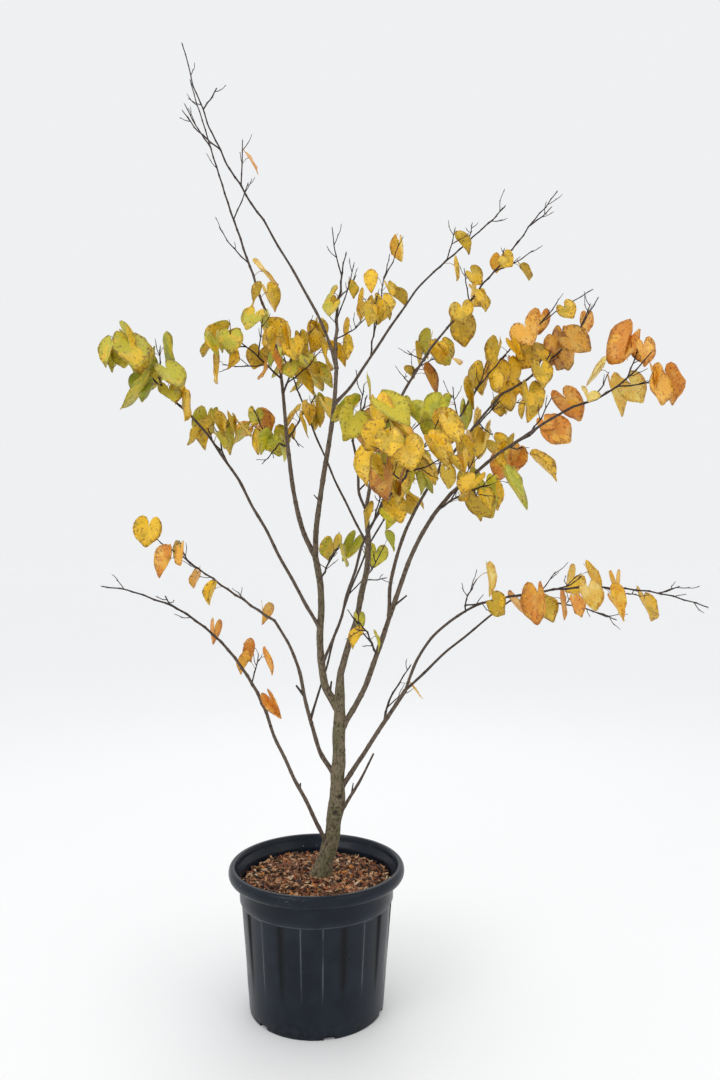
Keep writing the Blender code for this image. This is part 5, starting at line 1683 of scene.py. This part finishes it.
@dataclass
class Foliage:
    """The leaves, gathered into one piece for each tint, and their stalks."""

    growths: list[Growth]
    stalk_finish: Material
    rays: tuple[float, ...] = (0, 6, 14, 25, 39, 55, 72, 90, 108, 126, 143, 158, 170)
    rings: tuple[float, ...] = (0.40, 0.74, 1.0)
    thickness: float = 0.55 * MM
    size: float = 0.86
    pleat: float = 0.022
    wave: float = 0.040
    nick: float = 0.035
    cup_middle: float = 0.35
    stalk_radius: float = 0.75 * MM
    stalk_sides: int = 5
    stalk_pitch: float = 4.0 * MM
    stalk_swelling: float = 0.6
    noise: Noise = field(default_factory=lambda: Noise(29))

    def build(self) -> None:
        """Every leaf goes to its tint's pile, and every stalk to one."""
        piles = {tint: MeshPile() for tint in Tint}
        wearers: dict[Tint, set[str]] = {tint: set() for tint in Tint}
        stalks = MeshPile()
        for growth in self.growths:
            rng = Random(growth.spray.name + "_tint")
            for leaf in growth.leaves:
                tint = self.tint_of(growth.spray, leaf, rng)
                self.blade(leaf, piles[tint], rng)
                self.stalk(leaf, stalks)
                wearers[tint].add(growth.spray.name)
        for finish in LEAF_FINISHES:
            piece = piles[finish.tint].build(f"leaves_{finish.tint.value}")
            thicken(piece, self.thickness)
            settle(piece, finish.material(), "leaf", *sorted(wearers[finish.tint]))
        settle(stalks.build("leaf_stalks"), self.stalk_finish, "leaf")

    def tint_of(self, spray: Spray, leaf: Leaf, rng: Random) -> Tint:
        """The spray's tint at the leaf's share of the way along, a little mixed."""
        place = leaf.share * len(spray.tints) + Span.TINT_SHIFT.draw(rng)
        return spray.tints[int(min(max(place, 0), len(spray.tints) - 1))]

    def blade(self, leaf: Leaf, pile: MeshPile, rng: Random) -> None:
        """One leaf as a fan of rays and rings round its stalk's end.

        Args:
            leaf: The leaf.
            pile: Where it goes.
            rng: Where the draws come from.

        A point at turn a and ring q lies q times the heart's edge from the stalk. It lifts by the
        fold and the curl of the solid's leaf, by pleats that follow the veins, and by waves that
        grow to the edge.
        """
        one_side = np.radians(np.array(self.rays))
        turn = np.concatenate([-one_side[:0:-1], one_side])
        ring = np.array(self.rings)
        reach = BLADE_HEART.edge(turn)[None] * ring[:, None]
        lopsided = 1 + Span.LOPSIDED.draw(rng) * np.sign(turn)
        x = reach * np.cos(turn)
        y = reach * np.sin(turn) * lopsided * Span.BREADTH.draw(rng)
        nicks = self.cloud(4 * np.cos(turn), 4 * np.sin(turn), 9 * leaf.base[0])
        x = x * (1 + self.nick * nicks * (ring[:, None] == 1.0))
        phase, waves = rng.uniform(0, 2 * math.pi), rng.choice((3, 4, 5))
        wave = self.wave * Span.WAVE.draw(rng) * np.sin(waves * turn + phase) * ring[:, None] ** 2
        ripple = self.cloud(5 * x, 5 * y, 40 * leaf.base[1])
        pleat = self.pleat * ripple * (ring[:, None] + 0.5)
        cup = Span.CUP_ALONG.draw(rng) * (x - self.cup_middle) ** 2
        cup = cup + Span.CUP_ACROSS.draw(rng) * y**2
        twist = Span.TWIST.draw(rng) * x * y
        lift = np.abs(y) * math.sin(leaf.fold) - leaf.curl * x * np.abs(x)
        lift = lift + wave * reach + pleat + cup + twist
        across = y * math.cos(leaf.fold)
        place = x[..., None] * leaf.along + across[..., None] * leaf.across
        place = leaf.base + self.size * leaf.length * (place + lift[..., None] * leaf.face)
        points = np.vstack([leaf.base, place.reshape(-1, 3)])
        edge = np.repeat(ring[:, None], len(turn), axis=1)
        blade = np.vstack([[0.0, 0.0, 0.0], np.stack([x, y, edge], axis=-1).reshape(-1, 3)])
        tone = np.full(len(points), rng.uniform(-1, 1))
        pile.add(points, self.blade_faces(len(turn)), blade=blade, tone=tone)

    def cloud(self, x: Array, y: Array, depth: float) -> Array:
        """Noise over a leaf, cut from the lattice at a depth of its own."""
        return self.noise.at(np.stack([x, y, 0 * x + depth], axis=-1))

    def blade_faces(self, rays: int) -> list[list[int]]:
        """Triangles round the stalk's end, then four-cornered faces out to the edge."""
        first = [[0, 1 + ray, 2 + ray] for ray in range(rays - 1)]
        rest = []
        for ring in range(len(self.rings) - 1):
            inner = range(1 + ring * rays, (ring + 1) * rays)
            rest += [[here, here + rays, here + rays + 1, here + 1] for here in inner]
        return first + rest

    def stalk(self, leaf: Leaf, pile: MeshPile) -> None:
        """A leaf's stalk, swollen at both ends: radius times 1 + 0.6 cos^8 of pi t."""
        line, radii = smooth_line(leaf.stalk, np.full(3, self.stalk_radius), self.stalk_pitch)
        t = np.linspace(0.0, 1.0, len(line))
        radii = radii * (1 + self.stalk_swelling * np.cos(math.pi * t) ** 8)
        pile.add_tube(even_tube(line, radii, self.stalk_sides))


def thicken(piece: bpy.types.Object, thickness: float) -> None:
    """Turns a piece of thin sheets into closed bodies, evenly to both sides."""
    wall = piece.modifiers.new("thickness", "SOLIDIFY")
    wall.thickness = thickness
    wall.offset = 0.0
    wall.use_rim = True


@dataclass
class NurseryPot:
    """The pot: rolled lip, plain collar, flutes that fade downwards, and notches in its foot."""

    finish: Material
    height: float = POT_LIP_TOP
    lip_radius: float = 0.240
    lip_inner: float = 0.2205
    lip_height: float = 0.033
    collar_radius: float = 0.2105
    collar_wall: float = 0.0045
    collar_foot: float = 0.298
    body_top: float = 0.2065
    base_radius: float = 0.1825
    wall: float = 0.0085
    floor: float = 0.018
    flutes: int = 11
    flute_first: float = math.radians(15.5)
    flute_half: float = math.radians(8.2)
    flute_foot: float = 0.085
    flute_depth: float = 0.0045
    flute_edge: float = math.radians(0.95)
    flute_shade: float = math.radians(2.6)
    notches: int = 6
    notch_first: float = math.radians(13.0)
    notch_half: float = math.radians(4.7)
    notch_edge: float = math.radians(0.15)
    notch_height: float = 0.010
    notch_depth: float = 0.012
    foot_rows: tuple[float, ...] = (0.0, 0.0022, 0.006, 0.0105, 0.014)
    foot_round: float = 0.0016
    top_rows: tuple[float, ...] = (0.28, 0.286, 0.290, 0.2925, 0.2945)
    hub: float = 0.060
    sharp: float = math.radians(38)

    def columns(self) -> Array:
        """Turns round the pot, close together at the sides of flutes and notches."""
        period = 2 * math.pi / self.flutes
        half, edge = self.flute_half, self.flute_edge
        beside = edge * np.array([-0.5, 0.0, 0.5])
        inside = np.linspace(-half + edge, half - edge, 8)
        between = np.linspace(half + edge, period - half - edge, 8)
        flute = np.concatenate([inside, between, -half + beside, half + beside])
        turns = [self.flute_first + period * number + flute for number in range(self.flutes)]
        notch = self.notch_edge * np.array([-1, 1])
        for number in range(self.notches):
            middle = self.notch_first + 2 * math.pi * number / self.notches
            turns += [middle - self.notch_half + notch, middle + self.notch_half + notch]
        return np.unique(np.round(np.concatenate(turns) % (2 * math.pi), 6))

    def near(self, turn: Array, first: float, count: int, half: float, edge: float) -> Array:
        """One inside evenly spaced sectors and none outside, by a smooth step at their sides."""
        period = 2 * math.pi / count
        apart = np.abs((turn - first + period / 2) % period - period / 2)
        part = np.clip((half + edge - apart) / (2 * edge), 0.0, 1.0)
        return part * part * (3 - 2 * part)

    def notched(self, turn: Array) -> Array:
        """One inside the notches of the foot and none outside."""
        return self.near(turn, self.notch_first, self.notches, self.notch_half, self.notch_edge)

    def wall_rows(self, turn: Array) -> list[tuple[Array, Array]]:
        """Radius and height round the pot, row by row from the underside's rim to the collar.

        Args:
            turn: Turns of the columns.

        Returns:
            Pairs of arrays. The body is a cone, less the flutes' depth times how far up it is.
        """
        notch = self.notched(turn)
        flute = self.near(turn, self.flute_first, self.flutes, self.flute_half, self.flute_edge)
        rows = []
        for low in self.foot_rows:
            height = np.maximum(low, notch * (self.notch_height + 0.18 * low))
            rows.append((self.body(height) - self.foot_round * (low == 0.0), height))
        head = self.collar_foot - 0.004
        for height in (*np.linspace(0.02, 0.27, 26), *self.top_rows):
            up = np.clip((height - self.flute_foot) / (head - self.flute_foot), 0, 1)
            top = np.clip((head - height) / 0.0025, 0.0, 1.0)
            sunk = self.flute_depth * up**0.8 * top * flute
            rows.append((self.body(height) - sunk, turn * 0 + height))
        return rows

    def rub(self, turn: Array, grid: Array) -> Array:
        """How much painted glint each point has, and below zero how much painted shade it has on a
        flute's shaded side.

        Args:
            turn: Turns of the columns.
            grid: Rows by columns by 3.

        Returns:
            A painted highlight of one along the side of each flute that is nearer the front, and
            round the collar's foot.
            The other side goes down to minus one, a painted shade, by exp(-(turn from it /
            shade)^2).
        """
        period = 2 * math.pi / self.flutes
        off = (turn - self.flute_first + period / 2) % period - period / 2
        outward = np.where(np.sin(turn - off) > 0, 1.0, -1.0)
        # Painted glint along the edge of each flute that is nearer the front.
        glint_edge = np.exp(-(((off + outward * self.flute_half) / (0.6 * self.flute_edge)) ** 2))
        # Painted shade on the other side of each flute.
        inner = outward * (self.flute_half - self.flute_edge)
        shaded = np.exp(-(((off - inner) / self.flute_shade) ** 2))
        height = grid[..., 2]
        out = np.hypot(grid[..., 0], grid[..., 1]) > self.base_radius - 0.004
        up = np.clip((height - self.flute_foot) / 0.06, 0, 1) * (height < self.collar_foot - 0.001)
        # Painted highlight line round the collar's foot.
        foot = np.exp(-(((height - self.collar_foot) / 0.0016) ** 2))
        return np.where(foot > 0.05, foot, (glint_edge - shaded) * up) * out

    def body(self, height: float | Array) -> float | Array:
        """Outer radius of the sloping body at a height."""
        return self.base_radius + (self.body_top - self.base_radius) * height / self.collar_foot

    def rows_above(self) -> list[tuple[float, float]]:
        """Radius and height of the rows from the collar over the lip and down inside."""
        collar, inner, foot = self.collar_radius, self.lip_inner, self.collar_foot
        lip_foot = self.height - self.lip_height
        rolled = self.lip_height / 2
        half_width = 0.62 * rolled
        across, up = self.lip_radius - half_width, self.height - rolled
        rows = [
            (self.body_top, foot - 0.002),
            (collar - 0.0022, foot),
            (collar - 0.0010, foot + 0.002),
            (collar - 0.0006, foot + 0.020),
            (collar, lip_foot - 0.010),
            (collar + 0.0006, lip_foot - 0.004),
            (collar + 0.0035, lip_foot - 0.0006),
            (collar + 0.0095, lip_foot + 0.0006),
        ]
        for turn in np.radians(np.linspace(-68, 90, 14)):
            rows.append((across + half_width * math.cos(turn), up + rolled * math.sin(turn)))
        inside = collar - self.collar_wall
        rows += [
            (inner + 0.0035, self.height - 0.0006),
            (inner + 0.0005, self.height - 0.0045),
            (inner - 0.001, self.height - 0.012),
            (inner - 0.003, lip_foot + 0.014),
            (inside + 0.002, lip_foot + 0.004),
            (inside, lip_foot - 0.004),
            (inside, foot + 0.015),
            (self.body(foot) - self.wall, foot),
            (self.body(self.floor) - self.wall, self.floor),
            (self.hub, self.floor),
        ]
        return rows

    def build(self) -> None:
        """The whole wall as one grid, closed at the centre of its floor and of its underside."""
        turn = self.columns()
        notch = self.notched(turn)
        inner = self.base_radius - self.notch_depth
        under = [
            (turn * 0 + self.hub, turn * 0),
            (turn * 0 + inner, turn * 0),
            (turn * 0 + inner + 0.0004, notch * self.notch_height),
            (turn * 0 + self.base_radius - 0.004, notch * self.notch_height),
        ]
        above = [(turn * 0 + radius, turn * 0 + height) for radius, height in self.rows_above()]
        rows = under + self.wall_rows(turn) + above
        grid = np.stack([
            np.stack([radius * np.sin(turn), -radius * np.cos(turn), height], axis=-1)
            for radius, height in rows
        ])
        rings, sides, _ = grid.shape
        faces = ring_faces(rings, sides) + end_faces(rings, sides)
        poles = np.array([[0.0, 0.0, 0.0], [0.0, 0.0, self.floor]])
        # Painted glints and painted shade on the wall, kept as a value of each point.
        rub = np.concatenate([self.rub(turn, grid).ravel(), [0.0, 0.0]])
        pile = MeshPile()
        pile.add(np.vstack([grid.reshape(-1, 3), poles]), faces, rub=rub)
        piece = pile.build("nursery_pot")
        piece.data.set_sharp_from_angle(angle=self.sharp)
        settle(piece, self.finish, "pot", "pot")


@dataclass
class Mulch:
    """The potting mix: a bumpy bed with bark chips strewn over it."""

    rim: float = 0.2048
    top: float = MIX_TOP
    drop: float = 0.006
    sunk: float = 0.002
    lump_size: float = 0.035
    lump_height: float = 0.0030
    bed_sides: int = 96
    bed_rings: int = 40
    side_radii: tuple[float, ...] = (0.2048, 0.1935, 0.171, 0.06)
    side_heights: tuple[float, ...] = (0.318, 0.300, 0.0192, 0.0192)
    damp: Colour = (0.11, 0.075, 0.055)
    drier: Colour = (0.30, 0.21, 0.14)
    seed: int = 17
    chips: int = 4200
    layer: float = 0.0085
    crooked: float = 0.09
    tilting: float = 0.34
    rolling: float = 0.45
    lengths: tuple[float, float] = (0.007, 0.021)
    widths: tuple[float, float] = (0.30, 0.62)
    thickness: tuple[float, float] = (0.10, 0.24)
    trunk_clear: float = 0.024
    noise: Noise = field(default_factory=lambda: Noise(5))

    def height(self, x: Array, y: Array) -> Array:
        """Height of the bed: level, less the drop by the square of the radius, with lumps."""
        level = self.top - self.drop * ((x**2 + y**2) / self.rim**2)
        lumps = self.noise.layered(np.stack([x / self.lump_size, y / self.lump_size, x * 0], -1))
        return level - self.sunk + self.lump_height * lumps

    def build(self) -> None:
        """The bed, then the chips in each shade."""
        self.bed()
        rng = np.random.default_rng(self.seed)
        shares = [finish.share for finish in CHIP_FINISHES]
        owner = rng.choice(len(shares), self.chips, p=shares)
        centre, corners = self.strewn(rng)
        for number, finish in enumerate(CHIP_FINISHES):
            chosen = owner == number
            self.pile_of(corners[chosen] + centre[chosen][:, None], finish)

    def bed(self) -> None:
        """The bed as rings from its top's centre to its rim, down its side and under it."""
        turn = np.linspace(0, 2 * math.pi, self.bed_sides, endpoint=False)
        radii = np.linspace(0.004, self.rim, self.bed_rings)[:, None]
        x, y = radii * np.cos(turn), radii * np.sin(turn)
        upper = np.stack([x, y, self.height(x, y)], axis=-1)
        radii = np.array(self.side_radii)[:, None]
        heights = np.array(self.side_heights)[:, None] + 0 * turn
        lower = np.stack([radii * np.cos(turn), radii * np.sin(turn), heights], axis=-1)
        pile = MeshPile()
        pile.add_tube(np.concatenate([upper, lower])[::-1])
        web = NodeWeb("mix")
        grain = web.noise(210.0, 6.0)
        colour = web.blend(web.ramp(grain, 0.36, 0.68), self.damp, self.drier)
        material = web.finish(colour, 0.95, web.bump(grain, 3.0 * MM, 0.9))
        settle(pile.build("potting_mix_bed"), material, "mix", "potting_mix")

    def strewn(self, rng: np.random.Generator) -> tuple[Array, Array]:
        """Places and shapes of the chips.

        Args:
            rng: Where the draws come from.

        Returns:
            Centres, and eight corners of each chip about its centre. A chip is a box that narrows
            to one end, with its corners shifted, turned about the upright and tilted.
        """
        count = self.chips
        radius = (self.rim - 0.004) * np.sqrt(rng.uniform(0.0, 1.0, count))
        turn = rng.uniform(0, 2 * math.pi, count)
        x, y = radius * np.cos(turn), radius * np.sin(turn)
        foot = np.array(TRUNK_FOOT)
        off = np.hypot(x - foot[0], y - foot[1])
        push = np.where(off < self.trunk_clear, self.trunk_clear / np.maximum(off, 1e-4), 1.0)
        x, y = foot[0] + (x - foot[0]) * push, foot[1] + (y - foot[1]) * push
        z = self.height(x, y) + 0.0005 + self.layer * rng.uniform(0.0, 1.0, count)
        length = rng.uniform(*self.lengths, count) * rng.uniform(0.7, 1.0, count)
        width = length * rng.uniform(*self.widths, count)
        thick = length * rng.uniform(*self.thickness, count)
        signs = np.array([(i, j, k) for k in (-1, 1) for j in (-1, 1) for i in (-1, 1)], float)
        size = np.stack([length, width, thick], axis=-1)[:, None]
        corners = signs[None] * size / 2
        narrow = 1 - rng.uniform(0.1, 0.7, count)[:, None] * (signs[None, :, 0] > 0)
        corners[..., 1:] *= narrow[..., None]
        corners += rng.normal(0, self.crooked, corners.shape) * size
        spin = rng.uniform(0, 2 * math.pi, count)
        tilt, roll = rng.normal(0, self.tilting, count), rng.normal(0, self.rolling, count)
        return np.stack([x, y, z], axis=-1), turned(corners, spin, tilt, roll)

    def pile_of(self, corners: Array, finish: ChipFinish) -> None:
        """One shade's chips as flat-sided bodies, kept inside the pot's wall."""
        far = np.hypot(corners[..., 0], corners[..., 1])
        scale = np.minimum(1.0, self.rim / far)
        corners = corners.copy()
        corners[..., :2] *= scale[..., None]
        sides = ((0, 2, 3, 1), (4, 5, 7, 6), (0, 1, 5, 4), (2, 6, 7, 3), (0, 4, 6, 2), (1, 3, 7, 5))
        faces = (np.arange(len(corners))[:, None, None] * 8 + np.array(sides)[None]).reshape(-1, 4)
        pile = MeshPile()
        pile.add(corners.reshape(-1, 3), faces.tolist())
        settle(pile.build(f"chips_{finish.name}", smooth=False), finish.material(), "mix")


def turned(points: Array, spin: Array, tilt: Array, roll: Array) -> Array:
    """Turns each group of points about its own centre.

    Args:
        points: Groups by points by 3.
        spin: Turn about the upright, applied last.
        tilt: Turn about the level Y axis, applied second.
        roll: Turn about the long X axis, applied first.

    Returns:
        The turned points.
    """
    x, y, z = points[..., 0], points[..., 1], points[..., 2]
    y, z = turned_flat(y, z, roll)
    z, x = turned_flat(z, x, tilt)
    x, y = turned_flat(x, y, spin)
    return np.stack([x, y, z], axis=-1)


def turned_flat(first: Array, second: Array, turn: Array) -> tuple[Array, Array]:
    """Two coordinates turned in the plane that they span, group by group."""
    cos, sin = np.cos(turn)[:, None], np.sin(turn)[:, None]
    return first * cos - second * sin, first * sin + second * cos


@dataclass
class Studio:
    """A pale floor, soft light from large panels and the sky, and the camera."""

    floor_size: float = 60.0
    floor_shade: Colour = (0.955, 0.955, 0.955)
    sky_shade: Colour = (0.965, 0.97, 0.975)
    sky_light: float = 1.03
    sky_seen: float = 0.936
    camera_place: Point = (0.1186, -2.4189, 1.2989)
    camera_dip: float = 0.0108
    lens: float = 29.5
    sensor: float = 36.0
    aim: Point = (0.15, 0.0, 1.2)

    def build(self) -> None:
        """Floor, sky, lights and camera."""
        self.floor()
        self.sky()
        self.panel("key", (-2.2, -2.6, 3.6), 2.0, 34.0)
        self.panel("fill", (2.8, -1.9, 2.6), 2.0, 10.0)
        self.panel("back", (0.4, 2.8, 3.4), 2.4, 14.0)
        self.camera()

    def floor(self) -> None:
        """A plain floor, level with the foot of the pot."""
        half = self.floor_size / 2
        pile = MeshPile()
        pile.add(half * np.array([[-1, -1, 0], [1, -1, 0], [1, 1, 0], [-1, 1, 0]]), [[0, 1, 2, 3]])
        piece = pile.build("floor", smooth=False)
        piece.data.materials.append(NodeWeb("floor").finish(linear(self.floor_shade), 0.6))

    def sky(self) -> None:
        """An even pale surround, seen as bright as the far floor, so that no line parts them."""
        world = bpy.data.worlds.new("surround")
        world.use_nodes = True
        tree = world.node_tree
        background = tree.nodes["Background"]
        background.inputs["Color"].default_value = linear(self.sky_shade)
        path = tree.nodes.new("ShaderNodeLightPath")
        level = tree.nodes.new("ShaderNodeMapRange")
        level.inputs["To Min"].default_value = self.sky_light
        level.inputs["To Max"].default_value = self.sky_seen
        tree.links.new(path.outputs["Is Camera Ray"], level.inputs["Value"])
        tree.links.new(level.outputs["Result"], background.inputs["Strength"])
        bpy.context.scene.world = world
        bpy.context.scene.view_settings.view_transform = "Standard"

    def panel(self, name: str, place: Point, size: float, power: float) -> None:
        """A square light that faces the middle of the tree.

        Args:
            name: Its name.
            place: Where it stands.
            size: Its side.
            power: Its power in watts.
        """
        data = bpy.data.lights.new(name, "AREA")
        data.size = size
        data.energy = power
        light = put_in_scene(name, data)
        light.location = place
        aim = np.array(self.aim) - np.array(place)
        level = math.hypot(aim[0], aim[1])
        light.rotation_euler = (math.atan2(level, -aim[2]), 0.0, math.atan2(-aim[0], aim[1]))

    def camera(self) -> None:
        """The camera at the photograph's place, looking along +Y and a little down."""
        data = bpy.data.cameras.new("camera")
        data.lens = self.lens
        data.sensor_width = self.sensor
        camera = put_in_scene("camera", data)
        camera.location = self.camera_place
        camera.rotation_euler = (math.pi / 2 - self.camera_dip, 0.0, 0.0)
        bpy.context.scene.camera = camera


def main() -> None:
    """Builds the stage, then the wood, the foliage, the pot and its mix."""
    logging.basicConfig(level=logging.INFO, format="%(name)s %(message)s")
    Studio().build()
    skeleton = Skeleton()
    growths = grow_sprays(skeleton)
    add_small_leaves(growths)
    LOG.info("%d leaves on %d sprays", sum(len(growth.leaves) for growth in growths), len(growths))
    bark = BarkFinish().material()
    Wood(skeleton, bark).build()
    Twigs(growths, bark).build()
    Foliage(growths, StalkFinish().material()).build()
    NurseryPot(PlasticFinish().material()).build()
    Mulch().build()


if __name__ == "__main__":
    main()
